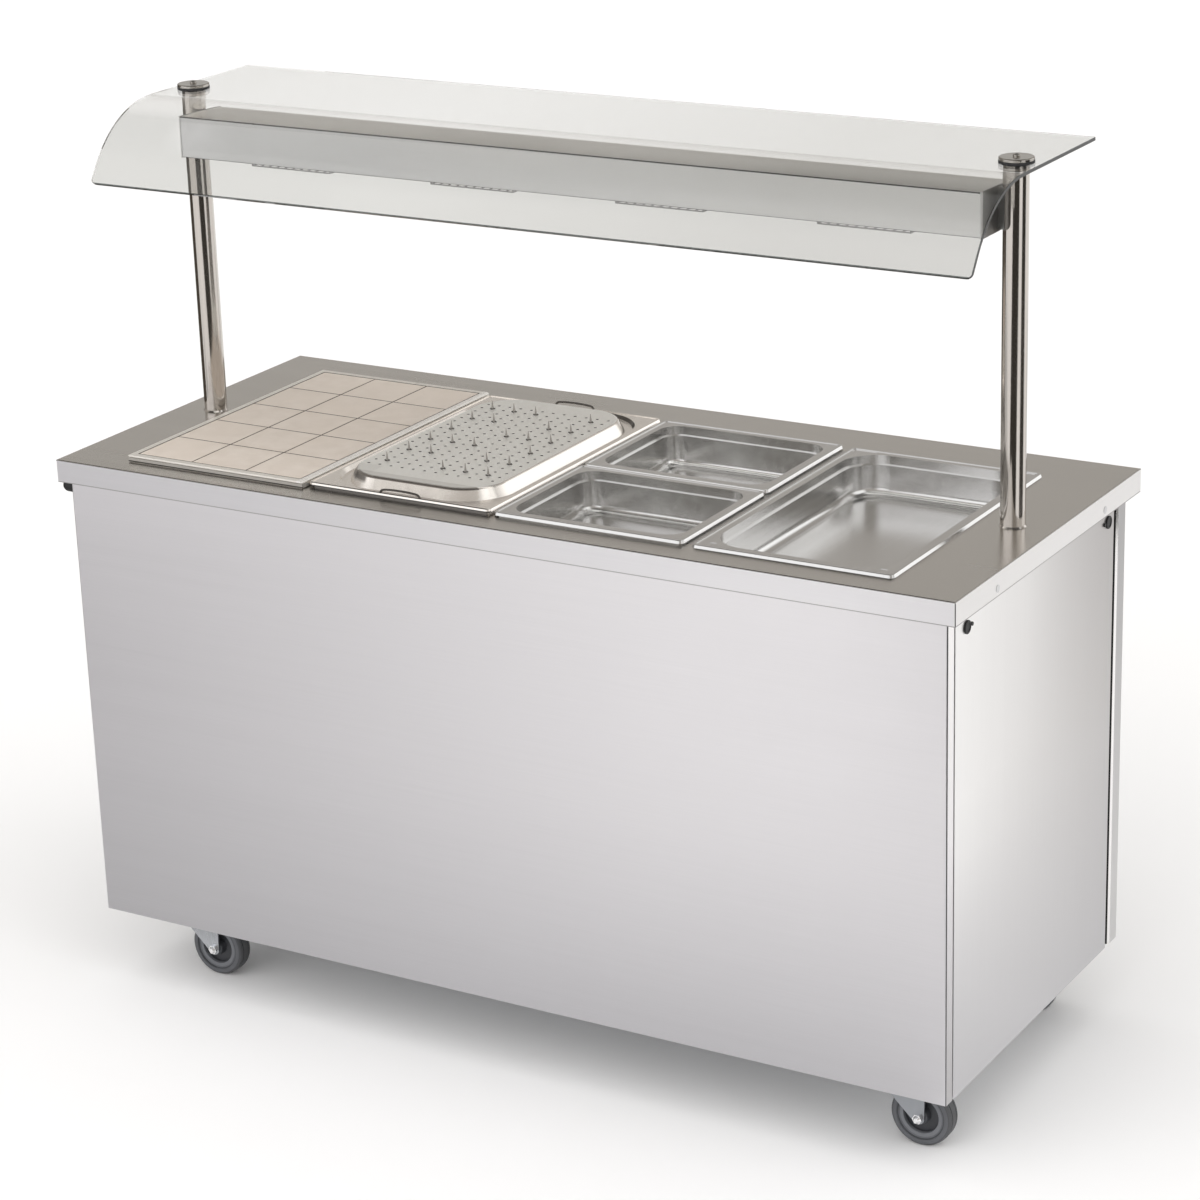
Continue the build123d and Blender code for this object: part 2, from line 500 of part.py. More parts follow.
tiles = []
ix0, ix1 = x0 + TILE_BORDER, x1 - TILE_BORDER
iy0, iy1 = y0 + TILE_BORDER, y1 - TILE_BORDER
tw = (ix1 - ix0 - 4 * TILE_JOINT) / 3
td = (iy1 - iy0 - 6 * TILE_JOINT) / 5
for i in range(3):
    for j in range(5):
        ax = ix0 + TILE_JOINT + i * (tw + TILE_JOINT)
        ay = iy0 + TILE_JOINT + j * (td + TILE_JOINT)
        t = box(ax, ax + tw, ay, ay + td, tz - 5.0, tz)
        t = chamfer(at_z(t, tz), 0.5)
        tiles.append(t)
put("carvery_tiles", *tiles)


# ---------------------------------------------------------------------- pans
def bead_ring(cx, cy, w, d, lift):
    """Turned-down bead round a flange; its outer side leans out towards the foot."""
    z0 = TOP_Z + lift
    ring = Pos(cx, cy, z0) * extrude(RectangleRounded(w + 2 * BEAD_FLARE, d + 2 * BEAD_FLARE, 9.0), FLANGE_H, taper=22)
    ring = fillet(at_z(ring, z0 + FLANGE_H), 1.8)
    ring -= slab(cx, cy, w - 8.4, d - 8.4, 4.8, z0 - 1, z0 + FLANGE_H + 1)
    if lift > 0:
        # narrow foot that carries the flange clear of the worktop
        ring += slab(cx, cy, w - 8.0, d - 8.0, 5.0, TOP_Z, z0 + 2.0) - slab(cx, cy, w - 11.0, d - 11.0, 4.0, TOP_Z - 1, z0 + 3.0)
    return ring


def gn_pan(cx, cy, w, d, depth, r, rb, lift):
    zf = TOP_Z + lift + FLANGE_H - 1.0
    z0 = zf - depth
    zs = zf - 15.0
    pan = bead_ring(cx, cy, w, d, lift)
    pan += slab(cx, cy, w - 6.0, d - 6.0, 6.0, zf - PAN_T, zf)
    a = 15.0
    b = 19.0
    t = PAN_T
    outer = slab(cx, cy, w - 2 * a, d - 2 * a, r, zs - t, zf)
    low = extrude(Pos(cx, cy, zs) * RectangleRounded(w - 2 * b, d - 2 * b, r - 2), zs - z0, dir=(0, 0, -1), taper=4)
    low = fillet(at_z(low, z0), rb)
    inner = slab(cx, cy, w - 2 * a - 2 * t, d - 2 * a - 2 * t, r - t, zs, zf + 2)
    lowi = extrude(Pos(cx, cy, zs + 0.01) * RectangleRounded(w - 2 * b - 2 * t, d - 2 * b - 2 * t, r - 2 - t), zs - z0 - t,
                   dir=(0, 0, -1), taper=4)
    lowi = fillet(at_z(lowi, z0 + t + 0.01), rb - t)
    pan = pan + outer + low
    pan -= inner + lowi
    return pan


half_front = gn_pan(HALF_CX, FULL_CY - GN_D / 2 + HALF_D / 2, GN_W, HALF_D, PAN_DEPTH, 34.0, 14.0, HALF_LIFT)
put("half_pan_front", half_front)
half_rear = gn_pan(HALF_CX, FULL_CY + GN_D / 2 - HALF_D / 2, GN_W, HALF_D, PAN_DEPTH, 34.0, 14.0, HALF_LIFT)
put("half_pan_rear", half_rear)
full = gn_pan(FULL_CX, FULL_CY, GN_W, GN_D, PAN_DEPTH, 58.0, 16.0, 0.0)
zf = TOP_Z + FLANGE_H - 1.0
for sx in (-1, 1):
    # stamped corner pads of the flange: long ones at the back, short ones at the front
    full -= slab(FULL_CX + sx * (GN_W / 2 - 27.5), FULL_CY + GN_D / 2 - 13.5, 40.0, 12.0, 3.0, zf - 0.7, zf + 1)
    full -= slab(FULL_CX + sx * (GN_W / 2 - 24.0), FULL_CY - GN_D / 2 + 20.0, 14.0, 5.0, 2.0, zf - 0.7, zf + 1)
put("full_pan", full)

# ------------------------------------------------------------- carving dish
rcx, rw = (DISH_X0 + DISH_X1) / 2, DISH_X1 - DISH_X0
dish = bead_ring(rcx, DISH_CY, rw, GN_D, DISH_LIFT)
zf = TOP_Z + DISH_LIFT + FLANGE_H - 1.0
zg = zf - GROOVE_DEPTH


def trough(off, z0, z1):
    """The drain groove's hollow, which narrows downwards; off grows it all round."""
    g = off + (z1 - zf) * math.tan(math.radians(GROOVE_TAPER))
    return extrude(Pos(GROOVE_CX, GROOVE_CY, z1) * RectangleRounded(GROOVE_W + 2 * g, GROOVE_D + 2 * g, GROOVE_R + g),
                   z1 - z0, dir=(0, 0, -1), taper=GROOVE_TAPER)


def platform(off, z0, z1, r):
    """Raised block with leaning sides and a rounded upper edge; off shrinks it all round."""
    p = Pos(DISH_CX, PLATFORM_CY, z0) * extrude(
        RectangleRounded(PLATFORM_W - 2 * off, PLATFORM_D - 2 * off, PLATFORM_R - off), z1 - z0, taper=PLATFORM_TAPER)
    return fillet(at_z(p, z1), r)


dish += slab(rcx, DISH_CY, rw - 6, GN_D - 6, 6.0, zf - PAN_T, zf) - slab(
    GROOVE_CX, GROOVE_CY, GROOVE_W, GROOVE_D, GROOVE_R, zf - 10, zf + 5)
# drain groove round the platform
dish += trough(PAN_T, zg - PAN_T, zf) - trough(0.0, zg, zf + 1)
dish += platform(0.0, zg - PAN_T, PLATFORM_Z, PLATFORM_FILLET)
dish -= platform(PAN_T + 0.25, zg - PAN_T - 0.01, PLATFORM_Z - PAN_T, PLATFORM_FILLET - PAN_T)
gx0 = DISH_CX - 5.5 * HOLE_PITCH
gy0 = DISH_CY - 8.5 * HOLE_PITCH
holes, spikes = [], []
for j in range(18):
    for i in range(12):
        px, py = gx0 + i * HOLE_PITCH, gy0 + j * HOLE_PITCH
        if i in SPIKES.get(j, ()):
            s = Pos(px, py, PLATFORM_Z + SPIKE_H / 2) * Cone(2.3, 0.35, SPIKE_H)
            s += box(px - 4.6, px + 4.6, py - 1.3, py + 1.3, PLATFORM_Z, PLATFORM_Z + 1.3)
            s += box(px - 1.3, px + 1.3, py - 4.6, py + 4.6, PLATFORM_Z, PLATFORM_Z + 1.3)
            spikes.append(s)
        else:
            holes.append(cyl_z(px, py, PLATFORM_Z - 3, PLATFORM_Z + 1, HOLE_R))
dish = dish - holes
dish = dish + spikes
put("carving_dish", dish)

loops = []
for y in (DISH_CY - GN_D / 2 + 2.6, DISH_CY + GN_D / 2 - 2.6):
    zl = TOP_Z + DISH_LIFT + FLANGE_H
    arch = [(-36.5, -0.6), (-33.6, 3.3), (-26.0, 5.3), (0.0, 6.4), (26.0, 5.3), (33.6, 3.3), (36.5, -0.6)]
    wire = Spline(*[(DISH_CX + x, y, zl + z) for x, z in arch])
    w = sweep(Plane(wire @ 0, z_dir=wire % 0) * Circle(1.7), path=wire)
    w -= box(DISH_CX - 60, DISH_CX + 60, y - 10, y + 10, zl - 10, zl)
    loops.append(w)
put("dish_loops", *loops)


# ------------------------------------------------------------------- castors
def place(shape, name):
    sx, sy, phi = CASTORS[name]
    return Pos(sx * CASTOR_X, sy * CASTOR_Y, 0) * Rot(0, 0, phi) * shape


plates = []
for name in CASTORS:
    sx, sy, phi = CASTORS[name]
    p = slab(0, 0, 100, 84, 8, 123.0, BODY_Z0)
    p += Pos(0, 0, 118.5) * Cone(21.0, 27.0, 9.0)
    p += cyl_z(0, 0, 98.0, 120.0, 6.0) + cyl_z(0, 0, 97.0, 103.0, 10.0)
    for bx in (-1, 1):
        for by in (-1, 1):
            p += Pos(bx * 40, by * 30, 118.4) * extrude(RegularPolygon(7.0, 6), 4.8)
            p += cyl_z(bx * 40, by * 30, 122, 131.0, 4.0)
    p = Pos(sx * CASTOR_X, sy * CASTOR_Y, 0) * p
    plates.append(p)
put("castor_plates", *plates)

for name in CASTORS:
    brake = name.startswith("rear")
    crown = slab(11.0, 0, 82, 46, 10, 106.0, 109.0)
    crown += Pos(0, 0, 111.2) * Cone(23.0, 20.0, 4.8)
    legs = []
    for s in (-1, 1):
        leg = make_face(Polyline((-26.0, 108.0), (48.5, 108.0), (47.3, 50.0), (30.45, 43.2), (-26.0, 98.0), close=True))
        leg += Pos(CASTOR_TRAIL, 50.0) * Circle(9.8)
        leg = extrude(leg, 3.0)
        # sketch plane to the XZ plane, thickness along Y
        leg = Rot(90, 0, 0) * leg
        leg = Pos(0, 23.0 if s > 0 else -20.0, 0) * leg
        legs.append(leg)
    fork = crown + legs[0] + legs[1]
    if brake:
        for s in (-1, 1):
            a, b = (14.2, 17.2) if s > 0 else (-17.2, -14.2)
            fork += box(44.0, 57.5, a, b, 106.0, 115.5)
            fork -= cyl_y(52.0, min(a, b) - 1, max(a, b) + 1, 110.0, 3.0 + RUN_CLEAR)
        # room for the pedal's knuckle
        fork -= box(45.0, 60.0, -14.2, 14.2, 104.0, 117.0)
    fork -= cyl_z(0, 0, 100, 116, 6.0 + RUN_CLEAR)
    fork -= cyl_y(CASTOR_TRAIL, -30, 30, 50.0, AXLE_R)
    axle = cyl_y(CASTOR_TRAIL, -23.0, 23.0, 50.0, AXLE_R)
    for s in (-1, 1):
        nut = Pos(CASTOR_TRAIL, s * 23.0, 50.0) * Rot(90 if s < 0 else -90, 0, 0) * extrude(RegularPolygon(8.0, 6), 5.0)
        dome = Pos(CASTOR_TRAIL, s * 28.0, 50.0) * Rot(90 if s < 0 else -90, 0, 0) * Pos(0, 0, 1.6) * Cone(6.2, 3.4, 3.2)
        axle += nut + dome
    put("castor_fork_" + name, place(fork, name), place(axle, name))
    b0 = AXLE_R + RUN_CLEAR
    hub = revolve_y([(b0, -18.5), (11.5, -18.5), (12.5, -17.0), (14.0, -6.0), (28.0, -5.0), (29.5, -13.0), (TYRE_RI, -13.0),
                     (TYRE_RI, 13.0), (29.5, 13.0), (28.0, 5.0), (14.0, 6.0), (12.5, 17.0), (11.5, 18.5), (b0, 18.5)],
                    CASTOR_TRAIL, 50.0)
    put("castor_hub_" + name, place(hub, name))
    hw = WHEEL_W / 2
    # flat tread with two grooves, rounded shoulders, a raised ring on each side
    side = [(TYRE_RI, 13.0), (37.4, 13.6), (38.0, 14.6), (39.2, 14.6), (39.6, 15.6), (42.0, hw), (45.0, 15.6), (47.4, 14.4),
            (49.0, 12.5), (49.8, 10.0), (49.85, 7.9), (48.5, 7.6), (48.5, 6.4), (WHEEL_R, 6.0)]
    prof = [(r, -y) for r, y in side] + side[::-1]
    tyre = revolve_y(prof, CASTOR_TRAIL, 50.0)
    put("castor_tyre_" + name, place(tyre, name))
    if brake:
        pedal = cyl_y(52.0, -13.9, 13.9, 110.0, 5.2) + cyl_y(52.0, -17.2, 17.2, 110.0, 3.0)
        pedal += box(52.0, 66.0, -13.0, 13.0, 108.4, 111.6)
        pedal += slab(80.0, 0, 32.0, 42.0, 6.0, 108.4, 111.6)
        pedal += box(58.0, 66.0, -8.0, 8.0, 96.4, 110.0)
        for k in range(4):
            pedal += box(72.0 + 5 * k, 74.0 + 5 * k, -15.0, 15.0, 111.0, 112.6)
        put("brake_pedal_" + name, place(pedal, name))

# ------------------------------------------------------------ doors and tracks
track_b = box(-735, 735, 268, 320, TRACK_Z0, TRACK_Z0 + 2)
track_t = box(-735, 735, 268, 320, TRACK_Z1 - 2, TRACK_Z1)
for ya, yb in ((268, 270), (294.2, 296.2), (318, 320)):
    track_b += box(-735, 735, ya, yb, TRACK_Z0, TRACK_Z0 + 13)
    track_t += box(-735, 735, ya, yb, TRACK_Z1 - 14, TRACK_Z1)
put("door_tracks", track_b, track_t)


def door(x0, x1, y0, hx_):
    y1 = y0 + DOOR_T
    d = box(x0, x1, y0, y1, DOOR_Z0, DOOR_Z1)
    d = fillet([e for e in d.edges() if abs(e.bounding_box().min.Y - y1) < 0.05], 1.0)
    d -= box(x0 + 1.2, x1 - 1.2, y0 + 1.2, y1 - 1.2, DOOR_Z0 + 1.2, DOOR_Z1 - 1.2)
    d -= box(x0 + 22, x1 - 22, y0 - 1, y0 + 2, DOOR_Z0 + 22, DOOR_Z1 - 22)
    hole = Pos(hx_, y1 - 3, 520) * Rot(90, 0, 0) * Pos(0, 0, -5) * extrude(RectangleRounded(42.4, 122.4, 10.2), 10)
    d -= hole
    cup = Pos(hx_, y1, 520) * Rot(90, 0, 0) * extrude(RectangleRounded(42.0, 122.0, 10.0), 12.0)
    cup -= Pos(hx_, y1 + 1, 520) * Rot(90, 0, 0) * extrude(RectangleRounded(39.6, 119.6, 8.8), 11.8)
    fl = Pos(hx_, y1 + 1.4, 520) * Rot(90, 0, 0) * extrude(RectangleRounded(54.0, 134.0, 15.0), 1.4)
    fl -= Pos(hx_, y1 + 3, 520) * Rot(90, 0, 0) * extrude(RectangleRounded(39.6, 119.6, 8.8), 6)
    glides = [box(gx - 25, gx + 25, y0 + 1.5, y1 - 1.5, TRACK_Z0 + 2.05, DOOR_Z0) for gx in (x0 + 80, x1 - 80)]
    return d, cup + fl, glides


d, c, g = door(-733.0, -733.0 + DOOR_W, OUTER_DOOR_Y, -690.0)
put("door_left", d, *g)
put("door_handle_left", c)
d, c, g = door(733.0 - DOOR_W, 733.0, INNER_DOOR_Y, 690.0)
put("door_right", d, *g)
put("door_handle_right", c)

# ----------------------------------------------------------------- controls
cp = box(-POST_X0, POST_X0, PANEL_Y, 323.5, TRACK_Z1, 881.8)
cp -= box(-POST_X0 - 1, POST_X0 + 1, PANEL_Y + 1.5, 330, TRACK_Z1 + 1.5, 881.8 - 1.5)
for x in KNOB_X:
    cp -= cyl_y(x, 300, 310, CONTROL_Z, 3.0 + RUN_CLEAR)
for x in PILOT_X:
    cp -= cyl_y(x, 300, 310, CONTROL_Z, 6.1)
cp -= box(SWITCH_X - 11.2, SWITCH_X + 11.2, 300, 310, CONTROL_Z - 15.2, CONTROL_Z + 15.2)
put("control_panel", cp)

bodies = []
for x in KNOB_X:
    bodies.append(box(x - 24, x + 24, 258, 303.8, CONTROL_Z - 26, CONTROL_Z + 26))

lights = []
for x in PILOT_X:
    l = cyl_y(x, 296, PANEL_Y + 1.5, CONTROL_Z, 6.0) + cyl_y(x, PANEL_Y + 1.5, PANEL_Y + 4.0, CONTROL_Z, 9.0)
    dome = cyl_y(x, PANEL_Y + 3.0, PANEL_Y + 9.5, CONTROL_Z, 7.0)
    dome = fillet([e for e in dome.edges() if abs(e.bounding_box().min.Y - PANEL_Y - 9.5) < 0.05
                   and abs(e.bounding_box().max.Y - PANEL_Y - 9.5) < 0.05], 3.0)
    lights.append(l + dome)
put("pilot_lights", *lights)

bez = box(SWITCH_X - 14, SWITCH_X + 14, PANEL_Y + 1.5, PANEL_Y + 4.0, CONTROL_Z - 18.5, CONTROL_Z + 18.5)
bez += box(SWITCH_X - 11, SWITCH_X + 11, PANEL_Y - 20.0, PANEL_Y + 1.5, CONTROL_Z - 15, CONTROL_Z + 15)
bez -= box(SWITCH_X - 9.6, SWITCH_X + 9.6, PANEL_Y - 18.5, PANEL_Y + 10, CONTROL_Z - 13.8, CONTROL_Z + 13.8)
put("control_bodies", *bodies, bez)

# rocker: ends follow a circle about the pivot, front face is a shallow V
SWITCH_Y = PANEL_Y + 1.0
rk = cyl_x(SWITCH_X - 9.2, SWITCH_X + 9.2, SWITCH_Y, CONTROL_Z, 13.3)
keep = make_face(Polyline((SWITCH_Y - 3.0, CONTROL_Z - 14), (SWITCH_Y - 3.0, CONTROL_Z + 14), (SWITCH_Y + 8.0, CONTROL_Z + 14),
                          (SWITCH_Y + 4.4, CONTROL_Z), (SWITCH_Y + 8.0, CONTROL_Z - 14), close=True))
keep = Pos(SWITCH_X - 20, 0, 0) * (Plane.YZ * extrude(keep, 40))
rk = rk & keep
# at rest the rocker lies over to one side
rk = Pos(0, SWITCH_Y, CONTROL_Z) * Rot(-SWITCH_TILT, 0, 0) * Pos(0, -SWITCH_Y, -CONTROL_Z) * rk
put("lamp_switch", rk)

for x, nm in zip(KNOB_X, ("cupboard", "well")):
    k = cyl_y(x, PANEL_Y + 2.0, PANEL_Y + 6.0, CONTROL_Z, 22.0)
    k = fillet([e for e in k.edges() if abs(e.bounding_box().min.Y - PANEL_Y - 6.0) < 0.05
                and abs(e.bounding_box().max.Y - PANEL_Y - 6.0) < 0.05], 1.5)
    body = cyl_y(x, PANEL_Y + 5.0, PANEL_Y + 20.0, CONTROL_Z, 17.0)
    body = fillet([e for e in body.edges() if abs(e.bounding_box().min.Y - PANEL_Y - 20.0) < 0.05
                   and abs(e.bounding_box().max.Y - PANEL_Y - 20.0) < 0.05], 2.0)
    # two flats leave a finger grip across the knob
    for s in (-1, 1):
        body -= box(x + (6.0 if s > 0 else -30.0), x + (30.0 if s > 0 else -6.0), PANEL_Y + 8.0, PANEL_Y + 30.0,
                    CONTROL_Z - 30, CONTROL_Z + 30)
    k += body
    k += cyl_y(x, PANEL_Y - 0.1, PANEL_Y + 3.0, CONTROL_Z, 3.0)
    k -= box(x - 0.9, x + 0.9, PANEL_Y + 19.2, PANEL_Y + 21.0, CONTROL_Z + 2.0, CONTROL_Z + 18.0)
    put("knob_" + nm, k)

# cable gland under the base
gl = cyl_z(GLAND_X, GLAND_Y, 118.0, 140.0, 10.0)
gl += Pos(GLAND_X, GLAND_Y, 120.0) * extrude(RegularPolygon(16.0, 6), 7.0)
gl += Pos(GLAND_X, GLAND_Y, 112.0) * Cone(9.5, 13.0, 16.0)
gl += Pos(GLAND_X, GLAND_Y, BODY_Z0 + BASE_T) * extrude(RegularPolygon(16.0, 6), 5.0)
gl -= cyl_z(GLAND_X, GLAND_Y, 100.0, 145.0, 5.5)
put("cable_gland", gl)

# -------------------------------------------------------------------- export
for name, solids in NODES.items():
    shape = solids[0] if len(solids) == 1 else Compound(children=solids)
    shape.label = name
    export_step(shape, os.path.join("parts", name + ".step"))
print(len(NODES), "nodes")
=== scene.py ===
import bpy
import bmesh
import math
from mathutils import Vector, Matrix


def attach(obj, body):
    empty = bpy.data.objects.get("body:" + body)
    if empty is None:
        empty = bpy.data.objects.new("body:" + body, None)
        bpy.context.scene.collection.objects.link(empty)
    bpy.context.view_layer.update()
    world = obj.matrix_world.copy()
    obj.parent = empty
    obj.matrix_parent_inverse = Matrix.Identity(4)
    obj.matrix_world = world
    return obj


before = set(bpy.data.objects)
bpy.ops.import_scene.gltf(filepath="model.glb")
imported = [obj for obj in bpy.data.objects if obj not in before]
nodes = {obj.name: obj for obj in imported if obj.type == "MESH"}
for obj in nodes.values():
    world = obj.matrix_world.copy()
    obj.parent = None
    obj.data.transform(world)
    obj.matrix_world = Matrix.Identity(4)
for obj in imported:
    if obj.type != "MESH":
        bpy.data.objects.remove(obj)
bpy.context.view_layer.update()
scene = bpy.context.scene
scene.view_settings.view_transform = "Standard"
scene.view_settings.look = "None"
scene.view_settings.exposure = 0.0

# ------------------------------------------------------------------ camera
AZ, EL, ROLL = math.radians(30.958), math.radians(19.582), math.radians(-1.839)
FOCAL_PX, FRAME_PX = 3420.3, 1200.0
fwd = Vector((-math.sin(AZ) * math.cos(EL), math.cos(AZ) * math.cos(EL), -math.sin(EL)))
right = Vector((math.cos(AZ), math.sin(AZ), 0.0))
up = right.cross(fwd)
c, s = math.cos(ROLL), math.sin(ROLL)
r2, u2 = right * c + up * s, up * c - right * s
cam_data = bpy.data.cameras.new("camera")
cam = bpy.data.objects.new("camera", cam_data)
scene.collection.objects.link(cam)
cam_data.sensor_fit = "HORIZONTAL"
cam_data.sensor_width = 36.0
cam_data.lens = 36.0 * FOCAL_PX / FRAME_PX
cam_data.clip_start, cam_data.clip_end = 0.1, 200.0
m = Matrix.Identity(4)
for i in range(3):
    m[i][0], m[i][1], m[i][2] = r2[i], u2[i], -fwd[i]
m.translation = Vector((2.6637, -4.4162, 2.5259))
cam.matrix_world = m
scene.camera = cam


# --------------------------------------------------------------- materials
def material(name):
    mat = bpy.data.materials.new(name)
    mat.use_nodes = True
    nt = mat.node_tree
    nt.nodes.clear()
    out = nt.nodes.new("ShaderNodeOutputMaterial")
    bsdf = nt.nodes.new("ShaderNodeBsdfPrincipled")
    nt.links.new(bsdf.outputs["BSDF"], out.inputs["Surface"])
    return mat, nt, bsdf


def coords(nt, scale):
    tc = nt.nodes.new("ShaderNodeTexCoord")
    mp = nt.nodes.new("ShaderNodeMapping")
    mp.inputs["Scale"].default_value = scale
    nt.links.new(tc.outputs["Object"], mp.inputs["Vector"])
    return mp.outputs["Vector"]


def noise(nt, scale, detail=3.0, rough=0.5, size=1.0):
    n = nt.nodes.new("ShaderNodeTexNoise")
    n.inputs["Scale"].default_value = size
    n.inputs["Detail"].default_value = detail
    n.inputs["Roughness"].default_value = rough
    nt.links.new(coords(nt, scale), n.inputs["Vector"])
    return n.outputs["Fac"]


def remap(nt, fac, lo, hi, a=0.3, b=0.7):
    r = nt.nodes.new("ShaderNodeMapRange")
    r.inputs["From Min"].default_value = a
    r.inputs["From Max"].default_value = b
    r.inputs["To Min"].default_value = lo
    r.inputs["To Max"].default_value = hi
    nt.links.new(fac, r.inputs["Value"])
    return r.outputs["Result"]


def math_node(nt, op, a, b):
    n = nt.nodes.new("ShaderNodeMath")
    n.operation = op
    for k, v in ((0, a), (1, b)):
        if isinstance(v, (int, float)):
            n.inputs[k].default_value = v
        else:
            nt.links.new(v, n.inputs[k])
    return n.outputs["Value"]


def mix_colour(nt, fac, a, b):
    n = nt.nodes.new("ShaderNodeMix")
    n.data_type = "RGBA"
    nt.links.new(fac, n.inputs["Factor"])
    for sock, v in ((n.inputs[6], a), (n.inputs[7], b)):
        if isinstance(v, (tuple, list)):
            sock.default_value = (*v, 1.0)
        else:
            nt.links.new(v, sock)
    return n.outputs[2]


def bump(nt, bsdf, height, strength, distance):
    b = nt.nodes.new("ShaderNodeBump")
    b.inputs["Strength"].default_value = strength
    b.inputs["Distance"].default_value = distance
    nt.links.new(height, b.inputs["Height"])
    nt.links.new(b.outputs["Normal"], bsdf.inputs["Normal"])


def shade(col, k):
    return tuple(min(1.0, v * k) for v in col)


def place(nt, axis):
    """One coordinate of the rest frame, in metres."""
    tc = nt.nodes.new("ShaderNodeTexCoord")
    sp = nt.nodes.new("ShaderNodeSeparateXYZ")
    nt.links.new(tc.outputs["Object"], sp.inputs["Vector"])
    return sp.outputs[axis]


def brushed(nt, bsdf, across, amount):
    """Stretch the highlights across the brushing lines."""
    v = nt.nodes.new("ShaderNodeCombineXYZ")
    for k, c in zip("XYZ", across):
        v.inputs[k].default_value = c
    nt.links.new(v.outputs["Vector"], bsdf.inputs["Tangent"])
    bsdf.inputs["Anisotropic"].default_value = amount


STRETCH = {"X": (5.0, 700.0, 700.0), "Y": (700.0, 5.0, 700.0), "Z": (700.0, 700.0, 5.0)}
STREAK = {"X": (0.9, 70.0, 70.0), "Y": (70.0, 0.9, 70.0), "Z": (70.0, 70.0, 0.9)}


def zone(nt, limits, soft=0.0001):
    """1 inside a box of the rest frame given as (axis, low, high) limits, 0 outside."""
    m = None
    for axis, a, b in limits:
        p = place(nt, axis)
        f = math_node(nt, "MULTIPLY", remap(nt, p, 0.0, 1.0, a - soft, a + soft), remap(nt, p, 1.0, 0.0, b - soft, b + soft))
        m = f if m is None else math_node(nt, "MULTIPLY", m, f)
    return m


def steel(name, col, rough=0.34, axis="X", grain=0.05, rvar=0.05, depth=0.05, smudge=0.03, metallic=1.0, upper=None, across=None, spots=(), drift=(), gloss=()):
    """Brushed sheet: fine lines and broad streaks along one axis, with faint wiping marks.

    upper = (height, colour, roughness) gives the part above that height its own roughness and its own colour, painted
    shade where that colour is darker and painted light where it is lighter;
    spots = (limits, colour, softness) colour small zones: mostly painted shade (dark lines along hems and edges, in
    gaps, holes and hollows, and round spikes) and painted highlights (light strips on edges and faces), and once the
    bright chrome of a nut;
    gloss = (limits, roughness) gives a zone a smoother finish;
    drift = (limits, axis, from, to, colour, softness) lets the tone change slowly along the sheet, painted shade and
    painted light."""
    mat, nt, bsdf = material(name)
    fine = noise(nt, STRETCH[axis], 3.0, 0.6)
    broad = noise(nt, STREAK[axis], 4.0, 0.55)
    wipe = noise(nt, (2.2, 2.2, 2.2), 4.0, 0.6)
    tone = math_node(nt, "ADD", math_node(nt, "MULTIPLY", fine, 0.5), math_node(nt, "MULTIPLY", broad, 0.5))
    colour = mix_colour(nt, remap(nt, tone, 0.0, 1.0, 0.32, 0.68), shade(col, 1.0 - grain), shade(col, 1.0 + grain))
    r = math_node(nt, "ADD", remap(nt, broad, rough - rvar, rough + rvar), remap(nt, wipe, -smudge, smudge))
    if upper:
        z, col2, rough2 = upper
        above = remap(nt, place(nt, "Z"), 0.0, 1.0, z - 0.0004, z + 0.0004)
        tint = mix_colour(nt, remap(nt, tone, 0.0, 1.0, 0.32, 0.68), shade(col2, 1.0 - grain), shade(col2, 1.0 + grain))
        colour = mix_colour(nt, above, colour, tint)
        r = math_node(nt, "ADD", r, math_node(nt, "MULTIPLY", above, rough2 - rough))
    for limits, ax, p0, p1, tint, *soft in drift:
        f = remap(nt, place(nt, ax), 0.0, 1.0, p0, p1)
        if limits:
            f = math_node(nt, "MULTIPLY", f, zone(nt, limits, *soft))
        t = mix_colour(nt, remap(nt, tone, 0.0, 1.0, 0.32, 0.68), shade(tint, 1.0 - grain), shade(tint, 1.0 + grain))
        colour = mix_colour(nt, f, colour, t)
    for limits, tint, *soft in spots:
        colour = mix_colour(nt, zone(nt, limits, *soft), colour, tint)
    for limits, rough2 in gloss:
        r = math_node(nt, "ADD", r, math_node(nt, "MULTIPLY", zone(nt, limits), rough2 - rough))
    nt.links.new(colour, bsdf.inputs["Base Color"])
    nt.links.new(r, bsdf.inputs["Roughness"])
    if across:
        brushed(nt, bsdf, *across)
    bsdf.inputs["Metallic"].default_value = metallic
    if depth:
        bump(nt, bsdf, fine, depth, 0.0002)
    return mat


def polished(name, col, rough=0.14, axis="Z", grain=0.03, depth=0.0, smudge=0.03, upper=None, across=None, spots=()):
    return steel(name, col, rough, axis, grain, 0.03, depth, smudge, 1.0, upper, across, spots)


def plastic(name, col, rough, grain=0.15, size=900.0, depth=0.15, spec=0.5):
    """Moulded plastic or rubber: fine pebbling with slow tone variation."""
    mat, nt, bsdf = material(name)
    pebble = noise(nt, (size, size, size), 2.0, 0.5)
    slow = noise(nt, (18.0, 18.0, 18.0), 3.0, 0.6)
    colour = mix_colour(nt, remap(nt, slow, 0.0, 1.0), shade(col, 1.0 - grain), shade(col, 1.0 + grain))
    nt.links.new(colour, bsdf.inputs["Base Color"])
    nt.links.new(remap(nt, slow, rough - 0.06, rough + 0.06), bsdf.inputs["Roughness"])
    bsdf.inputs["Specular IOR Level"].default_value = spec
    bump(nt, bsdf, pebble, depth, 0.0003)
    return mat


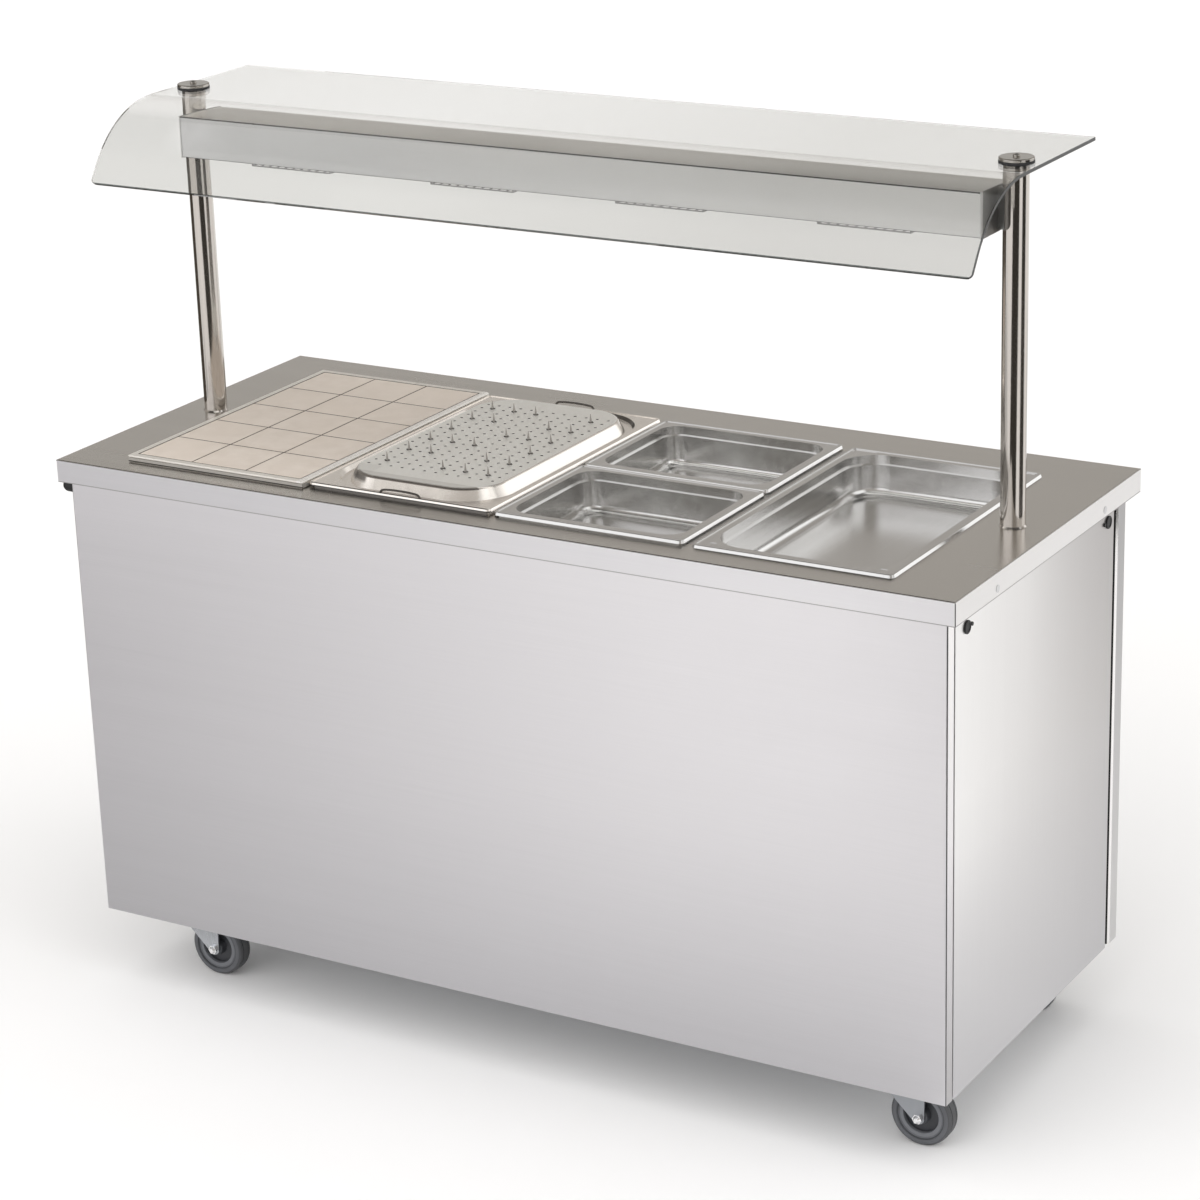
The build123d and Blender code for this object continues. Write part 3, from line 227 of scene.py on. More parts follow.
def tile_material():
    mat, nt, bsdf = material("tile_stoneware")
    cloud = noise(nt, (30.0, 30.0, 30.0), 5.0, 0.62)
    speck = noise(nt, (900.0, 900.0, 900.0), 2.0, 0.6)
    patch = noise(nt, (7.3, 7.9, 3.0), 2.0, 0.5)
    a = mix_colour(nt, remap(nt, cloud, 0.0, 1.0, 0.35, 0.65), (0.600, 0.528, 0.462), (0.665, 0.598, 0.535))
    b = mix_colour(nt, remap(nt, speck, 0.0, 0.35, 0.55, 0.75), a, (0.53, 0.465, 0.405))
    d = mix_colour(nt, remap(nt, patch, 0.0, 0.5, 0.4, 0.7), b, (0.650, 0.572, 0.500))
    nt.links.new(d, bsdf.inputs["Base Color"])
    nt.links.new(remap(nt, cloud, 0.42, 0.58), bsdf.inputs["Roughness"])
    bump(nt, bsdf, speck, 0.12, 0.0003)
    return mat


BEND_Y, BEND_Z, BEND_TURN = -0.060, 1.279, math.radians(56.0)


def bend_normal(nt):
    """Surface direction of the rolled glass, worked out from the bend's axis; the cut edges keep their own."""
    geo = nt.nodes.new("ShaderNodeNewGeometry")
    dy = math_node(nt, "SUBTRACT", place(nt, "Y"), BEND_Y)
    dz = math_node(nt, "SUBTRACT", place(nt, "Z"), BEND_Z)
    turn = math_node(nt, "ARCTAN2", math_node(nt, "MULTIPLY", dy, -1.0), dz)
    turn = math_node(nt, "MINIMUM", math_node(nt, "MAXIMUM", turn, 0.0), BEND_TURN)
    v = nt.nodes.new("ShaderNodeCombineXYZ")
    nt.links.new(math_node(nt, "MULTIPLY", math_node(nt, "SINE", turn, 0.0), -1.0), v.inputs["Y"])
    nt.links.new(math_node(nt, "COSINE", turn, 0.0), v.inputs["Z"])
    tr = nt.nodes.new("ShaderNodeVectorTransform")
    tr.vector_type, tr.convert_from, tr.convert_to = "NORMAL", "OBJECT", "WORLD"
    nt.links.new(v.outputs["Vector"], tr.inputs["Vector"])
    dot = nt.nodes.new("ShaderNodeVectorMath")
    dot.operation = "DOT_PRODUCT"
    nt.links.new(tr.outputs["Vector"], dot.inputs[0])
    nt.links.new(geo.outputs["Normal"], dot.inputs[1])
    side = math_node(nt, "SIGN", dot.outputs["Value"], 0.0)
    face = math_node(nt, "GREATER_THAN", math_node(nt, "ABSOLUTE", dot.outputs["Value"], 0.0), 0.95)
    turned = nt.nodes.new("ShaderNodeVectorMath")
    turned.operation = "SCALE"
    nt.links.new(tr.outputs["Vector"], turned.inputs[0])
    nt.links.new(side, turned.inputs["Scale"])
    pick = nt.nodes.new("ShaderNodeMix")
    pick.data_type = "VECTOR"
    nt.links.new(face, pick.inputs["Factor"])
    nt.links.new(geo.outputs["Normal"], pick.inputs[4])
    nt.links.new(turned.outputs["Vector"], pick.inputs[5])
    return pick.outputs[1]


def glass_material():
    mat, nt, bsdf = material("canopy_glass")
    smear = noise(nt, (3.0, 9.0, 9.0), 4.0, 0.6)
    nt.links.new(remap(nt, smear, 0.0, 0.012, 0.45, 0.75), bsdf.inputs["Roughness"])
    # clear on top at the left end; painted shade darkens the glass towards the right end, and more from the bend down;
    # the cut edges are dark
    ends = remap(nt, place(nt, "Z"), 1.0, 0.0, 1.440, 1.4635)
    middle = remap(nt, place(nt, "Z"), 1.0, 0.0, 1.400, 1.4635)
    lip = math_node(nt, "ADD", ends, math_node(nt, "MULTIPLY", remap(nt, place(nt, "X"), 0.0, 1.0, -0.66, -0.60), math_node(nt, "SUBTRACT", middle, ends)))
    side = remap(nt, place(nt, "X"), 0.0, 1.0, -0.22, 0.45)
    colour = mix_colour(nt, lip, mix_colour(nt, side, (1.0, 1.0, 0.995), (0.825, 0.823, 0.810)),
                        mix_colour(nt, side, (0.71, 0.712, 0.695), (0.635, 0.633, 0.618)))
    for limits in ((("X", 0.7637, 0.80),), (("X", -0.80, -0.76445),), (("Z", 1.30, 1.3522),)):
        colour = mix_colour(nt, zone(nt, limits), colour, (0.022, 0.028, 0.027))
    nt.links.new(colour, bsdf.inputs["Base Color"])
    nt.links.new(bend_normal(nt), bsdf.inputs["Normal"])
    bsdf.inputs["Transmission Weight"].default_value = 1.0
    bsdf.inputs["IOR"].default_value = 1.5
    vol = nt.nodes.new("ShaderNodeVolumeAbsorption")
    vol.inputs["Color"].default_value = (0.60, 0.74, 0.70, 1.0)
    vol.inputs["Density"].default_value = 3.0
    out = [n for n in nt.nodes if n.type == "OUTPUT_MATERIAL"][0]
    nt.links.new(vol.outputs["Volume"], out.inputs["Volume"])
    return mat


def quartz_material():
    mat, nt, bsdf = material("lamp_quartz_tube")
    frost = noise(nt, (40.0, 300.0, 300.0), 3.0, 0.5)
    colour = mix_colour(nt, remap(nt, frost, 0.0, 1.0), (0.78, 0.74, 0.68), (0.92, 0.90, 0.86))
    nt.links.new(colour, bsdf.inputs["Base Color"])
    nt.links.new(remap(nt, frost, 0.12, 0.3), bsdf.inputs["Roughness"])
    bsdf.inputs["Coat Weight"].default_value = 0.6
    return mat


def lens_material():
    mat, nt, bsdf = material("pilot_lens_amber")
    ripple = noise(nt, (220.0, 220.0, 220.0), 2.0, 0.5)
    colour = mix_colour(nt, remap(nt, ripple, 0.0, 1.0), (0.80, 0.22, 0.03), (0.95, 0.36, 0.06))
    nt.links.new(colour, bsdf.inputs["Base Color"])
    nt.links.new(remap(nt, ripple, 0.10, 0.22), bsdf.inputs["Roughness"])
    bsdf.inputs["Coat Weight"].default_value = 0.5
    bump(nt, bsdf, ripple, 0.2, 0.0006)
    return mat


def quilt_material():
    mat, nt, bsdf = material("insulation_wool")
    fibre = noise(nt, (260.0, 60.0, 260.0), 5.0, 0.7)
    colour = mix_colour(nt, remap(nt, fibre, 0.0, 1.0), (0.60, 0.52, 0.28), (0.80, 0.73, 0.46))
    nt.links.new(colour, bsdf.inputs["Base Color"])
    bsdf.inputs["Roughness"].default_value = 0.95
    bump(nt, bsdf, fibre, 0.6, 0.002)
    return mat


M = {
    # worktop: the top face gets a smoother finish and is coloured darker and warmer than the fascia, painted shade; the
    # end fascia is painted lighter, painted light; painted shade lines run along the fascia's lower hem, down the front
    # right corner seam and along the top front and end edges; painted shade darkens the front fascia towards the left
    # end
    "worktop": steel("worktop_brushed", (0.84, 0.83, 0.85), 0.36, "X", 0.02, 0.03, 0.03, 0.02, 1.0,
                     (0.9184, (0.655, 0.635, 0.605), 0.24), ((0.0, 1.0, 0.0), 0.6),
                     [((("X", 0.7905, 0.8000), ("Z", 0.8839, 0.9184)), (0.905, 0.895, 0.89)),
                      ((("Z", 0.8800, 0.8839),), (0.42, 0.41, 0.41)),
                      ((("X", 0.7917, 0.8000), ("Y", -0.3450, -0.3397), ("Z", 0.8839, 0.9184)), (0.20, 0.20, 0.20)),
                      ((("Y", -0.3430, -0.3397), ("Z", 0.9182, 0.9210)), (0.26, 0.25, 0.24)),
                      ((("X", 0.7918, 0.8000), ("Z", 0.9184, 0.9210)), (0.34, 0.33, 0.31))],
                     [((("Y", -0.3430, -0.3385), ("Z", 0.8700, 0.9184)), "X", 0.50, -0.80, (0.725, 0.715, 0.74))]),
    # front panel: a painted shade line at the right bend; painted shade darkens the sheet towards the left end and
    # towards the bottom; on the return strip at the right end the tone is painted lighter towards the top and darker
    # towards the bottom
    "front": steel("front_sheet", (0.85, 0.835, 0.855), 0.36, "X", 0.018, 0.03, 0.03, 0.02, 1.0, None, None,
                   [((("X", 0.7745, 0.7775), ("Y", -0.3300, -0.3270)), (0.14, 0.14, 0.145))],
                   [(None, "X", 0.30, -0.78, (0.775, 0.76, 0.785)), (None, "Z", 0.50, 0.13, (0.775, 0.765, 0.79)),
                    ((("X", 0.7752, 0.80),), "Z", 0.40, 0.90, (0.97, 0.96, 0.955)), ((("X", 0.7752, 0.80),), "Z", 0.55, 0.15, (0.55, 0.54, 0.55))]),
    # end panels: the sheet is coloured very light, with a painted shade line at the rear edge; painted shade darkens it
    # towards the rear, towards the bottom, at the upper rear and at the lower front
    "end": steel("end_sheet", (0.95, 0.945, 0.94), 0.38, "Z", 0.018, 0.03, 0.03, 0.02, 1.0, None, None,
                 [((("Y", 0.2757, 0.2790),), (0.12, 0.12, 0.12))],
                 [(None, "Y", -0.32, 0.30, (0.625, 0.61, 0.605)), (None, "Z", 0.60, 0.13, (0.665, 0.66, 0.675)),
                  ((("Z", 0.70, 1.20),), "Y", -0.05, 0.30, (0.50, 0.485, 0.48), 0.20),
                  ((("Z", -0.20, 0.33),), "Y", 0.10, -0.30, (0.62, 0.615, 0.63), 0.17)]),
    # corner posts: the sheet is coloured darker than the other panels, painted shade; a painted highlight on the rear
    # chamfers with a painted shade line where each starts; the faces inside the gaps are painted black, painted shade;
    # the rear face is coloured lighter; the tone is painted lighter towards the bottom
    "post": steel("post_sheet", (0.48, 0.475, 0.48), 0.32, "Z", 0.02, 0.03, 0.03, 0.02, 1.0, None, None,
                  [((("X", 0.7716, 0.7765), ("Y", 0.2912, 0.2946)), (0.88, 0.875, 0.87)), ((("X", -0.7765, -0.7716), ("Y", 0.2912, 0.2946)), (0.88, 0.875, 0.87)),
                   ((("X", 0.7700, 0.7765), ("Y", 0.2880, 0.2912)), (0.03, 0.03, 0.03)), ((("X", -0.7765, -0.7700), ("Y", 0.2880, 0.2912)), (0.03, 0.03, 0.03)),
                   ((("X", 0.7300, 0.7714), ("Y", 0.2880, 0.3228)), (0.02, 0.02, 0.02)), ((("X", -0.7714, -0.7300), ("Y", 0.2880, 0.3228)), (0.02, 0.02, 0.02)),
                   ((("X", -0.78, 0.78), ("Y", 0.3228, 0.33)), (0.72, 0.715, 0.72))],
                  [(None, "Z", 0.84, 0.25, (0.76, 0.755, 0.755))],
                  [((("Y", 0.2890, 0.2946),), 0.10)]),
    "fixing": steel("fixing_steel", (0.70, 0.70, 0.71), 0.30, "Z", 0.04, 0.05, 0.05, 0.03),
    "inner": steel("inner_sheet", (0.60, 0.60, 0.60), 0.36, "X", 0.05, 0.05, 0.05, 0.05),
    "galv": steel("chassis_galvanised", (0.50, 0.51, 0.52), 0.45, "X", 0.12, 0.08, 0.06, 0.08),
    "bar": steel("bar_steel", (0.62, 0.61, 0.60), 0.30, "Y", 0.05, 0.05, 0.05, 0.03),
    "pan": polished("pan_pressed", (0.66, 0.655, 0.645), 0.22, "Y", 0.04, 0.03, 0.05),
    # carving dish: above 0.9418 the platform top gets a rougher finish and a lighter colour, painted light
    "dish": steel("dish_pressed", (0.845, 0.80, 0.75), 0.22, "Y", 0.03, 0.03, 0.02, 0.05, 0.84, (0.9418, (1.0, 0.985, 0.945), 0.46), None,
                     # painted shade on the walls of the platform's holes, the spike bases and the spike shafts
                     [((("X", -0.285, -0.045), ("Y", -0.209, 0.161), ("Z", 0.9405, 0.94235)), (0.02, 0.019, 0.017)),
                      ((("Z", 0.9428, 0.9440),), (0.07, 0.065, 0.06)),
                      ((("Z", 0.9440, 0.99),), (0.40, 0.38, 0.355)),
                      # rolled front bead: painted shade on its crest, along its lower edge and on the foot beneath; the
                      # bright face between keeps the sheet's colour
                      ((("Y", -0.2960, -0.2868), ("Z", 0.9284, 0.9300)), (0.16, 0.15, 0.14)),
                      ((("Y", -0.2960, -0.2838), ("Z", 0.9190, 0.9243)), (0.20, 0.19, 0.18)),
                      ((("Y", -0.2960, -0.2838), ("Z", 0.9243, 0.9257)), (0.045, 0.042, 0.04)),
                      # painted shade on the rounded upper edge of the platform, its front left corner, and the rear
                      # right wall of the groove
                      ((("X", -0.300, -0.052), ("Y", -0.2620, -0.2360), ("Z", 0.9388, 0.9422)), (0.26, 0.235, 0.215), 0.0005),
                      ((("X", -0.315, -0.2480), ("Y", -0.280, -0.205), ("Z", 0.9314, 0.9405)), (0.24, 0.225, 0.21), 0.0025),
                      ((("X", -0.115, -0.0150), ("Y", 0.186, 0.2400), ("Z", 0.9226, 0.9279)), (0.11, 0.10, 0.09), 0.0003)]),
    # dish loops: the steel wire is coloured near black, painted shade
    "loop": polished("loop_wire", (0.11, 0.10, 0.092), 0.16, "X", 0.03, 0.0, 0.03),
    # tile frame: painted shade on the lower band of the front face and darker painted shade in the undercut beneath; a
    # painted highlight on the strip along the right edge, which also gets a smoother finish
    "tile_frame": steel("tile_frame_steel", (0.90, 0.865, 0.815), 0.34, "Y", 0.04, 0.05, 0.04, 0.03, 0.72, None, None,
                        [((("Y", -0.320, -0.300), ("Z", 0.9234, 0.9292)), (0.48, 0.46, 0.43)),
                         ((("Y", -0.320, -0.300), ("Z", 0.910, 0.9234)), (0.07, 0.065, 0.06)),
                         ((("X", -0.3482, -0.3360), ("Z", 0.9293, 0.9335)), (1.0, 0.985, 0.95))], (),
                        [((("X", -0.3401, -0.3360), ("Z", 0.9293, 0.9325)), 0.18)]),
    "tile": tile_material(),
    "pillar": polished("pillar_tube", (0.58, 0.545, 0.51), 0.13, "Z", 0.05, 0.02, 0.04),
    "clamp": polished("clamp_disc", (0.41, 0.39, 0.36), 0.16, "X", 0.03, 0.0, 0.03),
    "glass": glass_material(),
    "gasket": plastic("gasket_rubber", (0.022, 0.022, 0.023), 0.55),
    "plug": plastic("plug_rubber", (0.010, 0.010, 0.011), 0.50, 0.2, 700.0, 0.1),
    # gantry housing: the top is coloured darker than the front, painted shade; painted shade lines along the top and
    # bottom edges of the front, and the rear wall is coloured darker; painted light makes the front lighter towards the
    # right end and the top lighter towards the left end
    "housing": steel("housing_sheet", (0.81, 0.81, 0.82), 0.34, "X", 0.03, 0.04, 0.03, 0.02, 1.0, (1.4309, (0.65, 0.64, 0.62), 0.34), None,
                     [((("Y", -0.0700, -0.0655), ("Z", 1.4297, 1.4330)), (0.10, 0.10, 0.10)),
                      ((("Y", -0.0700, -0.0655), ("Z", 1.3600, 1.3670)), (0.30, 0.30, 0.31)),
                      ((("Y", 0.0400, 0.1500), ("Z", 1.3600, 1.4309)), (0.58, 0.58, 0.585))],
                     [((("Z", 1.3600, 1.4309),), "X", -0.30, 0.50, (1.0, 1.0, 1.0)), ((("Z", 1.4309, 1.4500),), "X", 0.45, -0.45, (0.93, 0.915, 0.89))]),
    # gantry end plates: the steel is coloured dark, painted shade, with a painted light strip along the front edge
    "housing_end": steel("housing_end_sheet", (0.36, 0.36, 0.355), 0.36, "Z", 0.04, 0.04, 0.03, 0.03, 1.0, None, None,
                         [((("Y", -0.0700, -0.0630),), (0.80, 0.80, 0.80))]),
    "reflector": polished("reflector_aluminium", (0.86, 0.86, 0.86), 0.16, "X", 0.03, 0.0, 0.03),
    "holder": plastic("holder_ceramic", (0.72, 0.69, 0.63), 0.6, 0.06, 500.0, 0.1),
    "quartz": quartz_material(),
    "guard": steel("guard_wire", (0.44, 0.44, 0.44), 0.30, "X", 0.04, 0.05, 0.0, 0.03),
    "element": steel("element_sheath", (0.20, 0.18, 0.17), 0.48, "X", 0.2, 0.08, 0.05, 0.08),
    "quilt": quilt_material(),
    "door": steel("door_sheet", (0.70, 0.695, 0.70), 0.36, "X", 0.03, 0.04, 0.04, 0.03),
    "control": steel("control_sheet", (0.68, 0.675, 0.68), 0.36, "X", 0.03, 0.04, 0.04, 0.03),
    "handle": plastic("handle_plastic", (0.030, 0.030, 0.032), 0.5, 0.15, 800.0, 0.25),
    "black": plastic("control_plastic", (0.020, 0.020, 0.022), 0.38, 0.15, 900.0, 0.15),
    "lens": lens_material(),
    # castor forks: painted shade darkens the front right fork; the front axle nuts get a bright chrome finish
    "zinc": steel("castor_zinc", (0.50, 0.515, 0.54), 0.34, "Z", 0.10, 0.08, 0.06, 0.08, 1.0, None, None,
                  [((("X", 0.60, 0.80), ("Y", -0.30, -0.15), ("Z", 0.02, 0.12)), (0.40, 0.415, 0.44)),
                   ((("Y", -0.2700, -0.2503), ("Z", 0.0400, 0.0600)), (0.92, 0.92, 0.93))], (),
                  [((("Y", -0.2700, -0.2503), ("Z", 0.0400, 0.0600)), 0.08)]),
    "track": steel("track_steel", (0.58, 0.58, 0.58), 0.36, "X", 0.05, 0.05, 0.04, 0.04),
}

USE = {
    "worktop": "worktop", "front_panel": "front", "end_panels": "end", "corner_posts": "post", "edge_fixings": "fixing",
    "cupboard_liner": "inner", "cupboard_floor": "inner", "shelf": "inner", "shelf_rails": "inner", "bain_marie_well": "inner",
    "base_chassis": "galv", "pillar_sockets": "galv", "door_tracks": "track", "well_bars": "bar",
    "half_pan_front": "pan", "half_pan_rear": "pan", "full_pan": "pan", "carving_dish": "dish", "dish_loops": "loop",
    "tile_frame": "tile_frame", "carvery_tiles": "tile", "gantry_pillars": "pillar", "glass_clamps": "clamp",
    "glass_canopy": "glass", "glass_gaskets": "gasket", "end_plugs": "plug", "gantry_housing": "housing",
    "gantry_end_plates": "housing_end", "lamp_reflectors": "reflector", "lamp_holders": "holder", "quartz_lamps": "quartz",
    "lamp_guards": "guard", "heating_elements": "element", "insulation": "quilt", "door_left": "door", "door_right": "door",
    "door_handle_left": "handle", "door_handle_right": "handle", "control_panel": "control", "control_bodies": "black",
    "lamp_switch": "black", "knob_cupboard": "black", "knob_well": "black", "cable_gland": "black", "pilot_lights": "lens",
    "castor_plates": "zinc", "brake_pedal_rear_left": "zinc", "brake_pedal_rear_right": "zinc",
}


def wheel_material(name, x, y, swivel, rings, rough, grain, size, depth):
    """Moulded wheel: rings = (radius, colour) from the axle outwards, each up to the next radius."""
    mat, nt, bsdf = material(name)
    a = math.radians(swivel)
    sp = [math_node(nt, "SUBTRACT", place(nt, ax), c) for ax, c in (("X", x + 0.0375 * math.cos(a)), ("Y", y + 0.0375 * math.sin(a)), ("Z", 0.050))]
    along = math_node(nt, "ADD", math_node(nt, "MULTIPLY", sp[0], math.cos(a)), math_node(nt, "MULTIPLY", sp[1], math.sin(a)))
    radius = math_node(nt, "SQRT", math_node(nt, "ADD", math_node(nt, "MULTIPLY", along, along), math_node(nt, "MULTIPLY", sp[2], sp[2])), 0.0)
    pebble = noise(nt, (size, size, size), 2.0, 0.5)
    slow = noise(nt, (18.0, 18.0, 18.0), 3.0, 0.6)
    f = remap(nt, slow, 0.0, 1.0)
    colour = mix_colour(nt, f, shade(rings[0][1], 1.0 - grain), shade(rings[0][1], 1.0 + grain))
    for r, col in rings[1:]:
        colour = mix_colour(nt, remap(nt, radius, 0.0, 1.0, r - 0.0003, r + 0.0003), colour, mix_colour(nt, f, shade(col, 1.0 - grain), shade(col, 1.0 + grain)))
    nt.links.new(colour, bsdf.inputs["Base Color"])
    nt.links.new(remap(nt, slow, rough - 0.06, rough + 0.06), bsdf.inputs["Roughness"])
    bump(nt, bsdf, pebble, depth, 0.0003)
    return mat


HUB_RINGS = ((0.0, (0.066, 0.070, 0.079)), (0.0125, (0.040, 0.042, 0.048)), (0.0287, (0.150, 0.156, 0.170)))
# tyre: the two thin dark rings are painted shade in its grooves, and the tone is painted darker towards the tread
TYRE_RINGS = ((0.0, (0.105, 0.110, 0.122)), (0.0376, (0.040, 0.042, 0.046)), (0.0390, (0.098, 0.102, 0.112)), (0.0460, (0.060, 0.062, 0.067)),
              (0.0470, (0.078, 0.080, 0.086)), (0.0492, (0.070, 0.072, 0.077)))
for corner, x, y, swivel in (("front_left", -0.656, -0.227, 0.0), ("front_right", 0.656, -0.227, 0.0),
                             ("rear_left", -0.656, 0.227, 105.0), ("rear_right", 0.656, 0.227, 75.0)):
    M["hub_" + corner] = wheel_material("hub_nylon_" + corner, x, y, swivel, HUB_RINGS, 0.45, 0.08, 600.0, 0.1)
    M["tyre_" + corner] = wheel_material("tyre_rubber_" + corner, x, y, swivel, TYRE_RINGS, 0.58, 0.10, 500.0, 0.2)
    USE["castor_fork_" + corner] = "zinc"
    USE["castor_hub_" + corner] = "hub_" + corner
    USE["castor_tyre_" + corner] = "tyre_" + corner
for name, obj in nodes.items():
    obj.data.materials.clear()
    obj.data.materials.append(M[USE[name]])


# ------------------------------------------------------------ small pieces
def add_mesh(name, bm, mat, body):
    me = bpy.data.meshes.new(name)
    bmesh.ops.recalc_face_normals(bm, faces=bm.faces)
    bm.to_mesh(me)
    bm.free()
    ob = bpy.data.objects.new(name, me)
    scene.collection.objects.link(ob)
    me.materials.append(mat)
    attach(ob, body)
    return ob


def bm_box(bm, x0, x1, y0, y1, z0, z1):
    v = [bm.verts.new((x, y, z)) for z in (z0, z1) for y in (y0, y1) for x in (x0, x1)]
    for f in ((0, 2, 3, 1), (4, 5, 7, 6), (0, 1, 5, 4), (2, 6, 7, 3), (0, 4, 6, 2), (1, 3, 7, 5)):
        bm.faces.new([v[i] for i in f])


# grout between the tiles, a little below their faces
def grout_material(name, dark, light):
    mat, nt, bsdf = material(name)
    grit = noise(nt, (400.0, 400.0, 400.0), 4.0, 0.7)
    colour = mix_colour(nt, remap(nt, grit, 0.0, 1.0), dark, light)
    nt.links.new(colour, bsdf.inputs["Base Color"])
    bsdf.inputs["Roughness"].default_value = 0.85
    bump(nt, bsdf, grit, 0.4, 0.0005)
    return mat


TILE_CX, TILE_CY, TILE_W, TILE_D, BORDER, JOINT = -0.50675, -0.02815, 0.339, 0.5465, 0.0105, 0.0024
ix0, ix1 = TILE_CX - TILE_W / 2 + BORDER, TILE_CX + TILE_W / 2 - BORDER
iy0, iy1 = TILE_CY - TILE_D / 2 + BORDER, TILE_CY + TILE_D / 2 - BORDER
tw = (ix1 - ix0 - 4 * JOINT) / 3
td = (iy1 - iy0 - 6 * JOINT) / 5
bm = bmesh.new()
z0, z1, e = 0.9271, 0.9317, 0.00005
for k in range(4):
    xa = ix0 + k * (tw + JOINT)
    bm_box(bm, xa + e, xa + JOINT - e, iy0 + e, iy1 - e, z0, z1)
add_mesh("tile_grout", bm, grout_material("tile_grout", (0.035, 0.030, 0.025), (0.070, 0.060, 0.050)), "tile_plate")
# the joints across the tiles get a darker copy of the grout colour, painted shade
bm = bmesh.new()
for k in range(6):
    ya = iy0 + k * (td + JOINT)
    for i in range(3):
        xa = ix0 + JOINT + i * (tw + JOINT)
        bm_box(bm, xa, xa + tw, ya + e, ya + JOINT - e, z0, z1 + 0.00012)
add_mesh("tile_grout_cross", bm, grout_material("tile_grout_shaded", (0.012, 0.011, 0.010), (0.030, 0.027, 0.024)), "tile_plate")


# dial marks round each thermostat knob, printed on the control panel
def print_material():
    mat, nt, bsdf = material("panel_print")
    ink = noise(nt, (500.0, 500.0, 500.0), 3.0, 0.6)
    colour = mix_colour(nt, remap(nt, ink, 0.0, 1.0), (0.018, 0.018, 0.02), (0.035, 0.035, 0.038))
    nt.links.new(colour, bsdf.inputs["Base Color"])
    bsdf.inputs["Roughness"].default_value = 0.5
    return mat


ink = print_material()
PANEL_FACE = 0.3055
for kx, nm in ((-0.460, "cupboard"), (-0.300, "well")):
    bm = bmesh.new()
    for k in range(10):
        ang = math.radians(90.0 + k * 30.0)
        long_mark = k % 3 == 0
        ra, rb = 0.0245, 0.0295 if long_mark else 0.0275
        hw = 0.0007 if long_mark else 0.0005
        # angle runs clockwise as the operator sees it
        d = Vector((math.cos(ang), 0.0, math.sin(ang)))
        n = Vector((-d.z, 0.0, d.x))
        pts = []
        for y in (PANEL_FACE + 0.00001, PANEL_FACE + 0.00016):
            for rr, hh in ((ra, -hw), (ra, hw), (rb, hw), (rb, -hw)):
                p = d * rr + n * hh
                pts.append(bm.verts.new((kx + p.x, y, 0.835 + p.z)))
        for f in ((0, 1, 2, 3), (7, 6, 5, 4), (0, 4, 5, 1), (1, 5, 6, 2), (2, 6, 7, 3), (3, 7, 4, 0)):
            bm.faces.new([pts[i] for i in f])
    add_mesh("dial_marks_" + nm, bm, ink, "cabinet")

# ------------------------------------------------------------ floor, light
bm = bmesh.new()
bmesh.ops.create_grid(bm, x_segments=1, y_segments=1, size=40.0)
me = bpy.data.meshes.new("studio_floor")
bm.to_mesh(me)
bm.free()
floor = bpy.data.objects.new("studio_floor", me)
scene.collection.objects.link(floor)
fm, nt, bsdf = material("floor_pale")
grime = noise(nt, (0.4, 0.4, 0.4), 3.0, 0.5)
nt.links.new(mix_colour(nt, remap(nt, grime, 0.0, 1.0), (0.915, 0.915, 0.92), (0.93, 0.93, 0.935)), bsdf.inputs["Base Color"])
bsdf.inputs["Roughness"].default_value = 0.8
bsdf.inputs["Specular IOR Level"].default_value = 0.1
me.materials.append(fm)

world = bpy.data.worlds.new("studio")
scene.world = world
world.use_nodes = True
nt = world.node_tree
nt.nodes.clear()
wout = nt.nodes.new("ShaderNodeOutputWorld")
bg = nt.nodes.new("ShaderNodeBackground")
nt.links.new(bg.outputs["Background"], wout.inputs["Surface"])
tc = nt.nodes.new("ShaderNodeTexCoord")
sep = nt.nodes.new("ShaderNodeSeparateXYZ")
nt.links.new(tc.outputs["Generated"], sep.inputs["Vector"])
# azimuth from the customer side towards the right end, and height above the horizon, in degrees
sky_az = math_node(nt, "MULTIPLY", math_node(nt, "ARCTAN2", sep.outputs["X"], math_node(nt, "MULTIPLY", sep.outputs["Y"], -1.0)), 57.29578)
sky_el = math_node(nt, "MULTIPLY", math_node(nt, "ARCSINE", sep.outputs["Z"], 0.0), 57.29578)


def soft_step(nt, value, a, b):
    """1 below a, 0 above b, smooth between."""
    r = nt.nodes.new("ShaderNodeMapRange")
    r.interpolation_type = "SMOOTHSTEP"
    r.inputs["From Min"].default_value = a
    r.inputs["From Max"].default_value = b
    r.inputs["To Min"].default_value = 1.0
    r.inputs["To Max"].default_value = 0.0
    nt.links.new(value, r.inputs["Value"])
    return r.outputs["Result"]


def soft_panel(nt, under, az0, half_in, half_out, el0, high_in, high_out, tone):
    """A large soft light panel on the studio dome."""
    da = math_node(nt, "ABSOLUTE", math_node(nt, "SUBTRACT", sky_az, az0), 0.0)
    de = math_node(nt, "ABSOLUTE", math_node(nt, "SUBTRACT", sky_el, el0), 0.0)
    m = math_node(nt, "MULTIPLY", soft_step(nt, da, half_in, half_out), soft_step(nt, de, high_in, high_out))
    return mix_colour(nt, m, under, tone)


dome = mix_colour(nt, soft_step(nt, sky_el, 40.0, 54.0), (0.115, 0.11, 0.105), (0.46, 0.435, 0.405))
dome = soft_panel(nt, dome, -25.0, 30.0, 55.0, 17.0, 9.0, 15.0, (1.40, 1.40, 1.42))
dome = soft_panel(nt, dome, 140.0, 20.0, 34.0, 8.0, 14.0, 26.0, (1.50, 1.50, 1.50))
dome = soft_panel(nt, dome, 88.0, 16.0, 34.0, 34.0, 10.0, 20.0, (1.40, 1.40, 1.40))
dome = soft_panel(nt, dome, -152.0, 25.0, 45.0, 10.0, 2.5, 5.0, (0.67, 0.66, 0.635))
